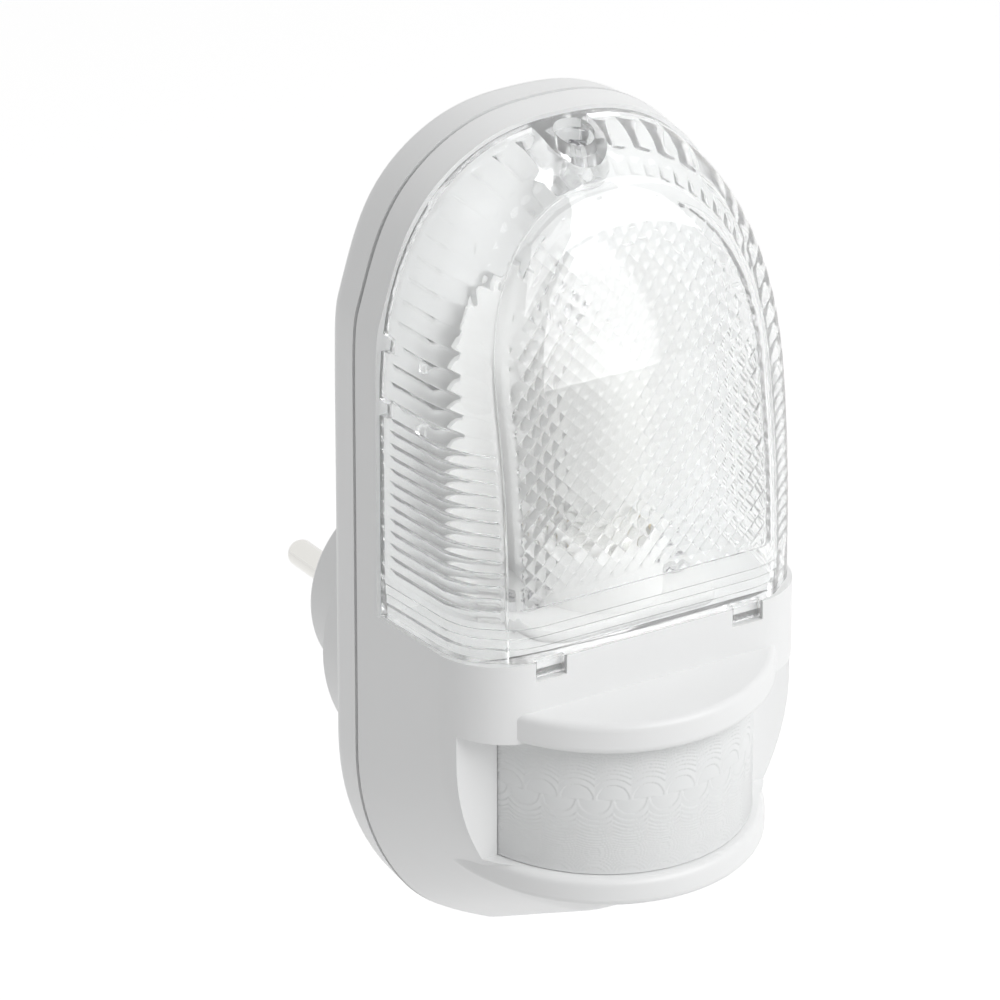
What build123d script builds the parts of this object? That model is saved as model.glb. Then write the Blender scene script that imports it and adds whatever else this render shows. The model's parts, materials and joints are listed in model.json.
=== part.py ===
"""Plug-in night light with a motion sensor: a housing in two halves on a plug, a clear lens cover
held by one screw, a screw-in lamp behind it and a motion sensor under a hood.

Millimetres. The origin is the centre of the plug's end face, between the two pins. +Y runs along
the pins into the wall, +Z is up and +X is to the right of someone facing the wall. A length whose
name ends in _f is a distance in front of the plug's end face, so it lies at Y = -f.
"""

from build123d import *
from math import cos, pi, sin, sqrt, tan
import os

os.makedirs("parts", exist_ok=True)

# ---------------------------------------------------------------- driving dimensions
# Plug: two round pins in a round body that enters the socket's well.
pin_spacing = 19.0
pin_diameter = 4.8
pin_length = 19.0
pin_root_diameter = 5.6
pin_head_diameter = 7.0
pin_head_thickness = 1.6
pin_tail = 1.6
pin_tail_diameter = 4.0
pin_tip_share = 0.38
plug_diameter = 36.9
plug_length = 17.5
plug_wall = 2.3
plug_end_wall = 3.0
earth_channel_width = 6.5
earth_channel_depth = 3.0
boss_diameter = 52.0
boss_length = 15.0
boss_wall = 2.2
retainer_thickness = 3.0
retainer_width = 29.0
retainer_height = 14.0
retainer_screw_spacing = 9.4
retainer_screw_length = 6.0
contact_width = 7.0
contact_thickness = 0.8
contact_lug_z = 6.4
contact_lug_length = 8.0

# Housing: one arched outline, widest at the seam between its halves, drawn in towards the nose.
half_width = 34.3
crown_z = 101.7
crown_spring_z = 58.0
sole_z = -43.7
sole_spring_z = -4.5
crown_fullness = 2.4
sole_fullness = 2.1
wall = 2.0
rear_depth = 9.5
rear_edge_radius = 4.0
rear_draft = 0.8
seam_gap = 0.8
ring_depth = 6.0
nose_depth = 34.0
nose_narrowing = 2.3
nose_crown_drop = 3.7
nose_crown_spring_drop = 3.0
nose_sole_rise = 16.7
nose_sole_spring_rise = 12.5
nose_radius = 12.0
shelf_z = 21.2
lip_thickness = 1.2
lip_overlap = 2.6
fit_gap = 0.15

# Motion sensor bay: a round window between a hood and a ledge, all about one upright axis.
sensor_axis_depth = 17.7
recess_depth = 26.7
hood_z = 8.6
hood_thickness = 5.3
hood_inset = 5.1
ledge_z = -14.6
ledge_thickness = 4.7
ledge_inset = 6.5
window_inset = 8.6
window_wall = 1.0
window_gap = 0.15
window_ear_width = 3.6
window_ear_low_z = -7.0
window_ear_high_z = 4.5
window_frame_thickness = 1.6
window_frame_bar = 3.0
window_frame_side = 5.6
stake_diameter = 1.8
stake_head_diameter = 3.0
stake_head_height = 0.8
stake_inset = 1.6
stake_z = -1.5
sensor_tilt = 4.0
edge_round = 1.2

# Lens cover: an arched shell that is open at its back and its bottom edge.
lens_wall = 1.8
lens_margin = 0.6
lens_edge_radius = 12.0
lens_panel_bend_z = 30.0
lens_panel_radius = 173.0
lens_seat_gap = 0.2
tongue_x = 18.6
tongue_width = 5.2
tongue_drop = 2.6
tongue_gap = 0.3

# Screw that holds the lens cover down on the housing's post.
screw_depth = 10.8
screw_head_z = 95.6
screw_head_diameter = 4.8
screw_head_height = 1.8
screw_diameter = 2.4
screw_length = 11.5
screw_gap = 0.08
counterbore_diameter = 6.6
screw_boss_diameter = 10.0
screw_boss_height = 5.2
post_width = 9.0
post_height = 13.0
post_depth = 10.5

# Lamp: a small tubular bulb with a 14 mm screw cap, upright in its holder.
lamp_depth = 18.0
bulb_diameter = 16.0
bulb_length = 48.0
bulb_wall = 0.8
bulb_neck_diameter = 12.4
bulb_neck_length = 4.0
cap_diameter = 13.6
cap_wall = 0.4
cap_length = 15.0
cap_groove = 0.5
thread_pitch = 2.82
tip_diameter = 4.6
tip_height = 1.2
insulator_height = 3.0
insulator_bottom_diameter = 7.0
sleeve_gap = 0.1
sleeve_wall = 0.5
sleeve_length = 15.5
holder_diameter = 20.4
holder_flange_width = 34.0
holder_flange_depth = 22.0
holder_flange_thickness = 2.0
holder_flange_corner = 5.0
holder_rise = 12.0
holder_drop = 7.0
holder_floor = 2.4
holder_rounding = 0.8
holder_screw_spacing = 27.0
holder_screw_diameter = 2.6
holder_screw_length = 9.0
holder_screw_head = 5.0
holder_screw_head_height = 1.6
holder_boss_diameter = 5.6
contact_strip_width = 3.2
contact_strip_thickness = 0.4
contact_strip_length = 9.0
contact_strip_rise = 1.4
stem_diameter = 5.0
stem_length = 11.0
filament_diameter = 0.5
filament_width = 8.0
filament_height = 10.0

# Reflector tray behind the lamp, held to the chassis by two screws.
reflector_thickness = 1.0
reflector_half_width = 23.0
reflector_radius = 60.0
reflector_depth = 8.0
reflector_corner = 12.0
reflector_bottom_z = 26.0
reflector_gap = 1.2
reflector_screw_sites = ((0.0, 42.0), (0.0, 68.0))
reflector_boss_diameter = 5.0
reflector_pad_diameter = 6.0
reflector_pad_height = 0.4

# Housing screws, put in from the back.
case_screw_diameter = 2.9
case_screw_length = 11.0
case_screw_head_diameter = 5.6
case_screw_head_height = 2.0
case_screw_inset = 0.6
case_bore_diameter = 6.2
case_post_diameter = 8.0
case_screw_high_inset = 14.3
case_screw_high_z = 79.0
case_screw_low_inset = 9.4
case_screw_low_z = -17.0

# Cross recess of a screw, as shares of its head's width and height.
cross_reach = 0.6
cross_width = 0.16
cross_depth = 0.55

# Small screws of the boards, the reflector and the pin retainer.
small_screw_diameter = 2.2
small_screw_head = 4.2
small_screw_head_height = 1.5
small_screw_length = 6.0

# Main board, upright behind the sensor, and what stands on it. Places are (x, z) of a centre.
board_thickness = 1.6
board_width = 40.0
board_bottom_z = -31.0
board_top_z = 14.0
board_corner = 1.5
board_standoff = 9.0
board_screw_inset = 3.4
standoff_diameter = 5.0
parts_gap = 1.2
board_edge_gap = 1.0
relay_width = 12.5
relay_length = 15.5
relay_height = 10.0
relay_rounding = 0.6
film_width = 12.0
film_length = 7.0
film_height = 11.0
film_rounding = 1.0
can_diameter = 8.0
can_height = 12.0
can_rounding = 0.6
chip_width = 6.4
chip_length = 9.4
chip_height = 3.2
chip_place = (9.2, -8.6)
resistor_diameter = 2.0
resistor_length = 6.3
resistor_pitch = 2.5
resistor_count = 3
diode_diameter = 2.2
diode_length = 4.2
diode_pitch = 2.8
diode_count = 4
diode_z = -9.4
wire_reach = 1.7
wire_diameter = 0.6
fuse_diameter = 8.0
fuse_height = 7.5
fuse_rounding = 0.8
fuse_place = (10.6, 6.0)
block_width = 9.8
block_length = 6.0
block_height = 8.5
block_z = 5.0
block_pitch = 4.8
block_hole_diameter = 2.4
block_screw_diameter = 3.0

# Sensor board, carried in front of the main board.
sensor_board_width = 28.0
sensor_board_height = 17.0
sensor_board_z = -3.5
sensor_board_thickness = 1.2
sensor_board_standoff = 9.9
spacer_diameter = 4.0
spacer_spacing = 23.0
spacer_rise = 2.0
spacer_screw_diameter = 1.8
spacer_screw_head = 3.4
spacer_screw_head_height = 1.2
spacer_screw_length = 5.0
header_width = 8.0
header_height = 2.5
header_drop = 7.0
sensor_can_diameter = 9.2
sensor_can_height = 4.2
sensor_can_flange = 10.2
sensor_can_flange_thickness = 0.8
sensor_eye_width = 4.0
sensor_eye_height = 3.2
sensor_eye_thickness = 0.5
light_cell_diameter = 5.0
light_cell_height = 2.0
light_cell_place = (8.8, -8.3)

# Insulated leads.
lead_diameter = 1.8
lead_rise = 3.1
lamp_lead_x = 4.0
lamp_lead_z = 9.5
switch_lead_diameter = 1.2

# Mode switch in the right-hand wall.
switch_z = -1.0
switch_depth = 12.0
switch_travel = 3.0
switch_body_width = 8.0
switch_body_height = 15.0
switch_body_depth = 5.5
switch_recess_width = 7.0
switch_recess_height = 14.0
switch_recess_depth = 1.6
switch_pad_thickness = 1.4
slider_width = 3.4
slider_height = 4.6
slider_gap = 0.25
slider_stem_width = 2.4
slider_stem_height = 3.0
slider_root_depth = 1.6
switch_clip_thickness = 1.2
switch_clip_gap = 0.1

# ---------------------------------------------------------------- places that follow from them
shoulder_f = plug_length
back_f = shoulder_f + boss_length
seam_f = back_f + rear_depth
seat_f = seam_f + ring_depth
nose_f = seam_f + nose_depth
recess_f = seam_f + recess_depth
sensor_f = seam_f + sensor_axis_depth
rear_inside_f = back_f + wall
rear_edge_f = seam_f - seam_gap / 2
front_edge_f = seam_f + seam_gap / 2
chassis_f = seat_f - wall
lens_back_f = seat_f + lens_seat_gap
lens_bottom_z = shelf_z + lens_seat_gap
screw_f = seam_f + screw_depth
lamp_f = seam_f + lamp_depth
switch_f = seam_f + switch_depth
lip_f = rear_edge_f - lip_overlap
lip_inset = wall + fit_gap + rear_draft * lip_overlap / (rear_edge_f - rear_inside_f)
board_f = rear_inside_f + board_standoff
board_face_f = board_f + board_thickness
sensor_board_f = board_face_f + sensor_board_standoff
sensor_face_f = sensor_board_f + sensor_board_thickness

pin_sites = ((-pin_spacing / 2, 0), (pin_spacing / 2, 0))
plug_cavity_radius = plug_diameter / 2 - plug_wall
plug_cavity_half = plug_diameter / 2 - earth_channel_depth - plug_wall
retainer_f = plug_end_wall + pin_head_thickness
retainer_face_f = retainer_f + retainer_thickness
retainer_sites = ((0, -retainer_screw_spacing / 2), (0, retainer_screw_spacing / 2))

case_high_x = half_width - case_screw_high_inset
case_low_x = half_width - case_screw_low_inset
case_screw_sites = (
    (-case_high_x, case_screw_high_z),
    (case_high_x, case_screw_high_z),
    (-case_low_x, case_screw_low_z),
    (case_low_x, case_screw_low_z),
)
case_head_f = back_f + case_screw_head_height + case_screw_inset
case_post_end_f = lip_f - fit_gap

board_screw_x = board_width / 2 - board_screw_inset
board_screw_z = (board_bottom_z + board_screw_inset, board_top_z - board_screw_inset)
board_sites = [(x, z) for x in (-board_screw_x, board_screw_x) for z in board_screw_z]
spacer_sites = [(x, sensor_board_z + spacer_rise) for x in (-spacer_spacing / 2, spacer_spacing / 2)]
parts_left_x = -board_screw_x + small_screw_head / 2 + parts_gap / 4
parts_low_z = board_bottom_z + board_edge_gap
relay_right_x = parts_left_x + relay_width
film_left_x = relay_right_x + parts_gap
film_right_x = film_left_x + film_width
film_top_z = parts_low_z + film_length
can_place = (film_left_x + can_diameter / 2, film_top_z + parts_gap / 2 + can_diameter / 2)
resistor_x = film_right_x + parts_gap / 4 + resistor_diameter / 2
resistor_z = board_screw_z[0] + small_screw_head / 2 + parts_gap + resistor_length / 2 + wire_reach
diode_x = -board_width / 2 + board_edge_gap / 2 + diode_diameter / 2
block_x = -spacer_spacing / 2 + parts_gap + spacer_diameter / 8
block_sites_x = (block_x - block_pitch / 2, block_x + block_pitch / 2)
block_wire_f = board_face_f + block_hole_diameter / 2 + wall
block_screw_f = block_wire_f + block_hole_diameter / 2

screw_boss_bottom_z = screw_head_z - screw_boss_height
post_top_z = screw_boss_bottom_z - lens_seat_gap
post_bottom_z = post_top_z - post_height
screw_tip_z = screw_head_z - screw_length
reflector_top_z = post_bottom_z - reflector_gap
reflector_pad_f = seat_f + reflector_thickness + reflector_pad_height
reflector_boss_f = reflector_pad_f - small_screw_length

holder_top_z = shelf_z + holder_rise
holder_bottom_z = shelf_z - holder_drop
holder_inside_z = holder_bottom_z + holder_floor
holder_boss_bottom_z = shelf_z - holder_screw_length
holder_screw_sites = (-holder_screw_spacing / 2, holder_screw_spacing / 2)
sleeve_radius = cap_diameter / 2 + sleeve_gap
bulb_bottom_z = holder_inside_z + contact_strip_rise + contact_strip_thickness
insulator_z = bulb_bottom_z + tip_height
cap_z = insulator_z + insulator_height
cap_top_z = cap_z + cap_length
bulb_top_z = bulb_bottom_z + bulb_length
stem_top_z = cap_top_z + stem_length

hood_radius = half_width - hood_inset
ledge_radius = half_width - ledge_inset
window_radius = half_width - window_inset
window_ear_f = recess_f - wall - window_gap - window_wall
window_frame_f = window_ear_f - window_frame_thickness
window_ear_x = sqrt(window_radius**2 - (window_ear_f - sensor_f) ** 2) + window_ear_width
stake_x = window_ear_x - stake_inset
hood_top_z = hood_z + hood_thickness
ledge_bottom_z = ledge_z - ledge_thickness

switch_wall_x = half_width - switch_depth / nose_depth * nose_narrowing
switch_pad_x = switch_wall_x - wall - switch_pad_thickness
switch_slot_width = slider_stem_width + 2 * slider_gap
switch_slot_height = slider_stem_height + 2 * (switch_travel + slider_gap)


# ---------------------------------------------------------------- planes, outlines and plain forms
def front(f):
    """Upright plane at f in front of the plug's end face, whose normal points away from the wall."""
    return Plane.XZ.offset(f)


def level(z, f=0.0):
    """Level plane at z, with its origin f in front of the plug's end face."""
    return Plane(origin=(0, -f, z), x_dir=(1, 0, 0), z_dir=(0, 0, 1))


def sensor_level(z):
    """Plane through the sensor axis at z that falls towards the front by the sensor's tilt."""
    return level(z, sensor_f).rotated((sensor_tilt, 0, 0))


def bend(half, rise, fullness, steps=5):
    """Points of a quarter of a full-bodied ellipse, from its top at x = 0 to its side at z = 0."""
    turns = [pi / 2 * k / steps for k in range(steps + 1)]
    return [(half * sin(t) ** (2 / fullness), rise * cos(t) ** (2 / fullness)) for t in turns]


def body_face(f, inset):
    """Outline of the housing at f, drawn in by inset, in the current sketch.

    Behind the seam the outline stays as it is there, and towards the nose it narrows evenly.
    """
    share = max(f - seam_f, 0) / nose_depth
    half = half_width - share * nose_narrowing - inset
    crown = crown_z - share * nose_crown_drop - inset
    sole = sole_z + share * nose_sole_rise + inset
    crown_spring = crown_spring_z - share * nose_crown_spring_drop
    sole_spring = sole_spring_z + share * nose_sole_spring_rise
    over = [(x, crown_spring + z) for x, z in bend(half, crown - crown_spring, crown_fullness)]
    under = [(x, sole_spring - z) for x, z in bend(half, sole_spring - sole, sole_fullness)]
    with BuildLine() as edge:
        top = Spline(*over, tangents=((1, 0), (0, -1)))
        Line(top @ 1, (half, sole_spring))
        Spline(*reversed(under), tangents=((0, -1), (-1, 0)))
        mirror(about=Plane.YZ)
    make_face(edge.edges())


def body_block(f_back, f_front, inset, mode=Mode.ADD, back_draft=0.0):
    """Housing outline carried from f_back to f_front, in the current part."""
    with BuildSketch(front(f_back)) as back:
        body_face(f_back, inset + back_draft)
    with BuildSketch(front(f_front)) as nose:
        body_face(f_front, inset)
    loft([back.sketch.face(), nose.sketch.face()], ruled=True, mode=mode)


def box_between(x, f, z, mode=Mode.ADD):
    """Box over ranges of x, f and z, in the current part."""
    with BuildSketch(Plane.XY.offset(z[0])) as base:
        with Locations(((x[0] + x[1]) / 2, -(f[0] + f[1]) / 2)):
            Rectangle(abs(x[1] - x[0]), abs(f[1] - f[0]))
    extrude(base.sketch, amount=z[1] - z[0], mode=mode)


def rod_f(sites, diameter, f_back, f_front, mode=Mode.ADD):
    """Round rods along Y at (x, z) sites, in the current part."""
    with BuildSketch(front(f_back)) as ends:
        with Locations(*sites):
            Circle(diameter / 2)
    extrude(ends.sketch, amount=f_front - f_back, mode=mode)


def rod_z(x, f, diameter, z_low, z_high, mode=Mode.ADD):
    """Upright round rod at x and f, in the current part."""
    with BuildSketch(Plane.XY.offset(z_low)) as end:
        with Locations((x, -f)):
            Circle(diameter / 2)
    extrude(end.sketch, amount=z_high - z_low, mode=mode)


def turned(profile, f, x=0.0, mode=Mode.ADD):
    """Solid turned about the upright axis at x and f from (radius, z) points, in the current part."""
    with BuildSketch(front(f)) as half:
        with BuildLine() as edge:
            Polyline(*[(x + radius, z) for radius, z in profile], close=True)
        make_face(edge.edges())
    revolve(half.sketch, axis=Axis((x, -f, 0), (0, 0, 1)), mode=mode)


def screws_f(sites, seat, way, head, head_height, diameter, length):
    """Cross-head screws along Y whose heads lie on f = seat, on its front side where way is 1."""
    with BuildPart() as screws:
        rod_f(sites, head, seat, seat + way * head_height)
        rod_f(sites, diameter, seat - way * length, seat)
        top_y = -seat - way * head_height
        chamfer(screws.edges().filter_by_position(Axis.Y, top_y, top_y), head_height / 5)
        with BuildSketch(front(seat + way * head_height)) as cross:
            with Locations(*sites):
                Rectangle(head * cross_reach, head * cross_width)
                Rectangle(head * cross_width, head * cross_reach)
        extrude(cross.sketch, amount=-way * head_height * cross_depth, mode=Mode.SUBTRACT)
    return screws.part


def save(part, label):
    """Label a finished piece and write it to its own file."""
    part.label = label
    export_step(part, f"parts/{label}.step")


# ---------------------------------------------------------------- rear housing and plug
def rear_housing():
    with BuildPart() as rear:
        body_block(back_f, rear_edge_f, 0, back_draft=rear_draft)
        fillet(rear.faces().sort_by(Axis.Y)[-1].edges(), rear_edge_radius)
        body_block(rear_inside_f, rear_edge_f, wall, Mode.SUBTRACT, rear_draft)
        rod_f([(0, 0)], boss_diameter, shoulder_f, rear_inside_f)
        rod_f([(0, 0)], plug_diameter, 0, shoulder_f)
        fillet(rear.faces().sort_by(Axis.Y)[-1].edges(), edge_round)
        rod_f([(0, 0)], boss_diameter - 2 * boss_wall, shoulder_f + wall, rear_inside_f, Mode.SUBTRACT)
        with BuildSketch(front(plug_end_wall)):
            Circle(plug_cavity_radius)
            Rectangle(plug_diameter, 2 * plug_cavity_half, mode=Mode.INTERSECT)
        extrude(amount=shoulder_f + wall - plug_end_wall, mode=Mode.SUBTRACT)
        with BuildSketch(front(0)):
            with Locations((0, plug_diameter / 2), (0, -plug_diameter / 2)):
                Rectangle(earth_channel_width, 2 * earth_channel_depth)
        extrude(amount=shoulder_f, mode=Mode.SUBTRACT)
        rod_f(retainer_sites, standoff_diameter, plug_end_wall - fit_gap, retainer_f)
        retainer_hole_f = retainer_face_f - retainer_screw_length
        rod_f(retainer_sites, small_screw_diameter, retainer_hole_f, retainer_f, Mode.SUBTRACT)
        rod_f(pin_sites, pin_root_diameter, 0, plug_end_wall, Mode.SUBTRACT)
        rod_f(case_screw_sites, case_post_diameter, rear_inside_f - wall / 2, case_post_end_f)
        rod_f(case_screw_sites, case_bore_diameter, back_f, case_head_f, Mode.SUBTRACT)
        rod_f(case_screw_sites, case_screw_diameter + 2 * fit_gap, back_f, case_post_end_f, Mode.SUBTRACT)
        for site in board_sites:
            over_boss = sqrt(site[0] ** 2 + site[1] ** 2) < boss_diameter / 2
            root_f = shoulder_f if over_boss else back_f
            rod_f([site], standoff_diameter, root_f + wall / 2, board_f)
        rod_f(board_sites, small_screw_diameter, board_face_f - small_screw_length, board_f, Mode.SUBTRACT)
    return rear.part


def plug_pins():
    with BuildPart() as pins:
        rod_f(pin_sites, pin_diameter, -pin_length, 0)
        rod_f(pin_sites, pin_root_diameter, 0, plug_end_wall)
        rod_f(pin_sites, pin_head_diameter, plug_end_wall, retainer_f)
        rod_f(pin_sites, pin_tail_diameter, retainer_f, retainer_face_f + pin_tail)
        fillet(pins.edges().filter_by_position(Axis.Y, pin_length, pin_length), pin_tip_share * pin_diameter)
    return pins.part


def pin_retainer():
    with BuildPart() as plate:
        with BuildSketch(front(retainer_f)):
            RectangleRounded(retainer_width, retainer_height, retainer_height / 4)
            with Locations(*pin_sites):
                Circle(pin_tail_diameter / 2 + fit_gap, mode=Mode.SUBTRACT)
            with Locations(*retainer_sites):
                Circle(small_screw_diameter / 2 + fit_gap, mode=Mode.SUBTRACT)
        extrude(amount=retainer_thickness)
    return plate.part


def pin_contacts():
    with BuildPart() as contacts:
        for x in (-pin_spacing / 2, pin_spacing / 2):
            with BuildSketch(front(retainer_face_f)) as plate:
                with Locations((x, (contact_lug_length - contact_width / 2) / 2)):
                    Rectangle(contact_width, contact_lug_length + contact_width / 2)
                with Locations((x, 0)):
                    Circle(pin_tail_diameter / 2 + fit_gap / 3, mode=Mode.SUBTRACT)
            extrude(plate.sketch, amount=contact_thickness)
    return contacts.part


# ---------------------------------------------------------------- front housing
def sensor_slab(f, z):
    """Block right across the housing between two of the sensor's tilted levels."""
    with BuildPart() as slab:
        box_between((-2 * half_width, 2 * half_width), f, (z[0] - half_width, z[1] + half_width))
        split(bisect_by=sensor_level(z[0]), keep=Keep.TOP)
        split(bisect_by=sensor_level(z[1]), keep=Keep.BOTTOM)
    return slab.part


def sensor_drum(radius, z, f, rounding=0.0):
    """Upright drum about the sensor axis between two tilted levels, kept in front of f."""
    with BuildPart() as drum:
        rod_z(0, sensor_f, 2 * radius, z[0] - half_width, z[1] + half_width)
        split(bisect_by=sensor_level(z[0]), keep=Keep.TOP)
        split(bisect_by=sensor_level(z[1]), keep=Keep.BOTTOM)
        if rounding > 0:
            fillet(drum.edges().filter_by(GeomType.ELLIPSE), rounding)
        split(bisect_by=front(f), keep=Keep.TOP)
    return drum.part


def lower_cavity():
    """Hollow of the front housing below the lens cover's shelf and round the sensor's recess."""
    with BuildPart() as cavity:
        body_block(seam_f, nose_f - wall, wall)
        fillet(cavity.faces().sort_by(Axis.Y)[0].edges(), nose_radius - wall)
        split(bisect_by=Plane.XY.offset(shelf_z - wall), keep=Keep.BOTTOM)
        add(sensor_slab((recess_f - wall, nose_f), (ledge_z - wall, hood_z + wall)), mode=Mode.SUBTRACT)
        add(sensor_slab((sensor_f, nose_f), (ledge_bottom_z, ledge_z)), mode=Mode.SUBTRACT)
    return cavity.part


def joining_lip():
    """Lip that enters the rear housing, with the web that carries it."""
    with BuildPart() as lip:
        body_block(rear_edge_f, front_edge_f + wall, wall / 2)
        split(bisect_by=front(front_edge_f), keep=Keep.TOP)
        body_block(lip_f, front_edge_f + wall / 2, lip_inset)
        body_block(lip_f, front_edge_f + wall, lip_inset + lip_thickness, Mode.SUBTRACT)
    return lip.part


def housing_shell():
    with BuildPart() as shell:
        body_block(front_edge_f, nose_f, 0)
        fillet(shell.faces().sort_by(Axis.Y)[0].edges(), nose_radius)
        box_between(
            (-2 * half_width, 2 * half_width),
            (seat_f, nose_f + half_width),
            (shelf_z, crown_z + half_width),
            Mode.SUBTRACT,
        )
        body_block(seam_f, chassis_f, wall, Mode.SUBTRACT)
        add(lower_cavity(), mode=Mode.SUBTRACT)
        add(sensor_slab((recess_f, nose_f + half_width), (ledge_z, hood_z)), mode=Mode.SUBTRACT)
        add(sensor_drum(ledge_radius, (ledge_bottom_z, ledge_z), sensor_f, edge_round))
        add(sensor_drum(hood_radius, (hood_z, hood_top_z), recess_f, edge_round))
        window = sensor_drum(window_radius + window_gap, (ledge_z, hood_z), recess_f - 2 * wall)
        add(window, mode=Mode.SUBTRACT)
        add(joining_lip())
    return shell.part


def holder_seat():
    """Bosses under the shelf that take the lamp holder's screws."""
    with BuildPart() as seat:
        for x in holder_screw_sites:
            rod_z(x, lamp_f, holder_boss_diameter, holder_boss_bottom_z, shelf_z - wall / 2)
    return seat.part


def switch_seat():
    """Pad inside the right-hand wall with the two clips that hold the switch body."""
    half_width_f = switch_body_width / 2 + wall
    half_height = switch_body_height / 2 + switch_clip_gap
    with BuildPart() as seat:
        box_between(
            (switch_pad_x, half_width),
            (switch_f - half_width_f, switch_f + half_width_f),
            (switch_z - half_height - wall, switch_z + half_height + wall),
        )
        body_block(seam_f, nose_f, wall / 2, Mode.INTERSECT)
        for side in (-1, 1):
            inner = switch_z + side * half_height
            ends = sorted((inner, inner + side * switch_clip_thickness))
            box_between(
                (switch_pad_x - switch_body_depth, switch_pad_x),
                (switch_f - switch_body_width / 2, switch_f + switch_body_width / 2),
                ends,
            )
    return seat.part


def case_posts():
    """Posts that take the case screws, the lower two joined to the side walls by ribs."""
    with BuildPart() as posts:
        box_between(
            (-half_width, half_width),
            (front_edge_f, chassis_f),
            (case_screw_low_z - lip_thickness, case_screw_low_z + lip_thickness),
        )
        box_between(
            (-case_low_x, case_low_x),
            (front_edge_f, chassis_f),
            (case_screw_low_z - case_post_diameter, case_screw_low_z + case_post_diameter),
            Mode.SUBTRACT,
        )
        body_block(seam_f, chassis_f, wall / 2, Mode.INTERSECT)
        rod_f(case_screw_sites, case_post_diameter, lip_f, chassis_f + wall / 2)
    return posts.part


def front_housing():
    with BuildPart() as housing:
        add(housing_shell())
        add(case_posts())
        rod_f(case_screw_sites, case_screw_diameter, lip_f, case_head_f + case_screw_length, Mode.SUBTRACT)
        box_between(
            (-post_width / 2, post_width / 2),
            (seat_f - wall / 2, seat_f + post_depth),
            (post_bottom_z, post_top_z),
        )
        rod_z(0, screw_f, screw_diameter + 2 * screw_gap, screw_tip_z - 1, post_top_z, Mode.SUBTRACT)
        for x in (-tongue_x, tongue_x):
            reach = tongue_width / 2 + tongue_gap
            box_between(
                (x - reach, x + reach),
                (nose_f - lens_wall - 2 * tongue_gap, nose_f + wall),
                (shelf_z - tongue_drop - 2 * tongue_gap, shelf_z),
                Mode.SUBTRACT,
            )
        add(holder_seat())
        for x in holder_screw_sites:
            rod_z(x, lamp_f, holder_screw_diameter, holder_boss_bottom_z, shelf_z, Mode.SUBTRACT)
        rod_z(0, lamp_f, holder_diameter + 2 * fit_gap, holder_boss_bottom_z, shelf_z, Mode.SUBTRACT)
        rod_f(reflector_screw_sites, reflector_boss_diameter, reflector_boss_f, chassis_f + wall / 2)
        rod_f(reflector_screw_sites, small_screw_diameter, reflector_boss_f, seat_f, Mode.SUBTRACT)
        stakes = ((-stake_x, stake_z), (stake_x, stake_z))
        rod_f(stakes, stake_diameter, window_frame_f, recess_f - wall / 2)
        rod_f(stakes, stake_head_diameter, window_frame_f - stake_head_height, window_frame_f)
        add(switch_seat())
        box_between(
            (switch_wall_x - switch_recess_depth, half_width + wall),
            (switch_f - switch_recess_width / 2, switch_f + switch_recess_width / 2),
            (switch_z - switch_recess_height / 2, switch_z + switch_recess_height / 2),
            Mode.SUBTRACT,
        )
        box_between(
            (switch_pad_x - wall, switch_wall_x),
            (switch_f - switch_slot_width / 2, switch_f + switch_slot_width / 2),
            (switch_z - switch_slot_height / 2, switch_z + switch_slot_height / 2),
            Mode.SUBTRACT,
        )
    return housing.part


# ---------------------------------------------------------------- motion sensor
def fresnel_lens():
    with BuildPart() as window:
        add(sensor_drum(window_radius, (ledge_z + window_gap, hood_z - window_gap), window_ear_f))
        with BuildSketch(Plane.XY.offset(ledge_z - nose_radius)) as hollow:
            with Locations((0, -sensor_f)):
                Circle(window_radius - window_wall)
        extrude(hollow.sketch, amount=hood_z - ledge_z + 2 * nose_radius, mode=Mode.SUBTRACT)
        for side in (-1, 1):
            box_between(
                sorted((side * (window_ear_x - window_ear_width - window_wall / 2), side * window_ear_x)),
                (window_ear_f, window_ear_f + window_wall),
                (window_ear_low_z, window_ear_high_z),
            )
        stakes = ((-stake_x, stake_z), (stake_x, stake_z))
        rod_f(stakes, stake_diameter + 2 * fit_gap, window_ear_f, window_ear_f + window_wall, Mode.SUBTRACT)
    return window.part


def fresnel_retainer():
    with BuildPart() as frame:
        with BuildSketch(front(window_frame_f)):
            with Locations((0, (window_ear_low_z + window_ear_high_z) / 2)):
                height = window_ear_high_z - window_ear_low_z + window_frame_bar
                Rectangle(2 * window_ear_x, height)
                Rectangle(2 * (window_ear_x - window_frame_side), height - window_frame_bar, mode=Mode.SUBTRACT)
            with Locations((-stake_x, stake_z), (stake_x, stake_z)):
                Circle(stake_diameter / 2 + fit_gap, mode=Mode.SUBTRACT)
        extrude(amount=window_frame_thickness)
        fillet(frame.edges().filter_by(Axis.Y).group_by(SortBy.LENGTH)[-1], window_frame_bar / 4)
    return frame.part


def sensor_board():
    with BuildPart() as board:
        with BuildSketch(front(sensor_board_f)):
            with Locations((0, sensor_board_z)):
                RectangleRounded(sensor_board_width, sensor_board_height, board_corner)
            with Locations(*spacer_sites):
                Circle(spacer_screw_diameter / 2 + fit_gap, mode=Mode.SUBTRACT)
        extrude(amount=sensor_board_thickness)
    return board.part


def sensor_spacers():
    with BuildPart() as spacers:
        rod_f(spacer_sites, spacer_diameter, board_face_f, sensor_board_f)
        hole_f = sensor_face_f - spacer_screw_length
        rod_f(spacer_sites, spacer_screw_diameter, hole_f, sensor_board_f, Mode.SUBTRACT)
    return spacers.part


def board_header():
    low_z = sensor_board_z - header_drop - header_height / 2
    with BuildPart() as header:
        box_between(
            (-header_width / 2, header_width / 2),
            (board_face_f, sensor_board_f),
            (low_z, low_z + header_height),
        )
        chamfer(header.edges().filter_by(Axis.Y), header_height / 6)
    return header.part


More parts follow.
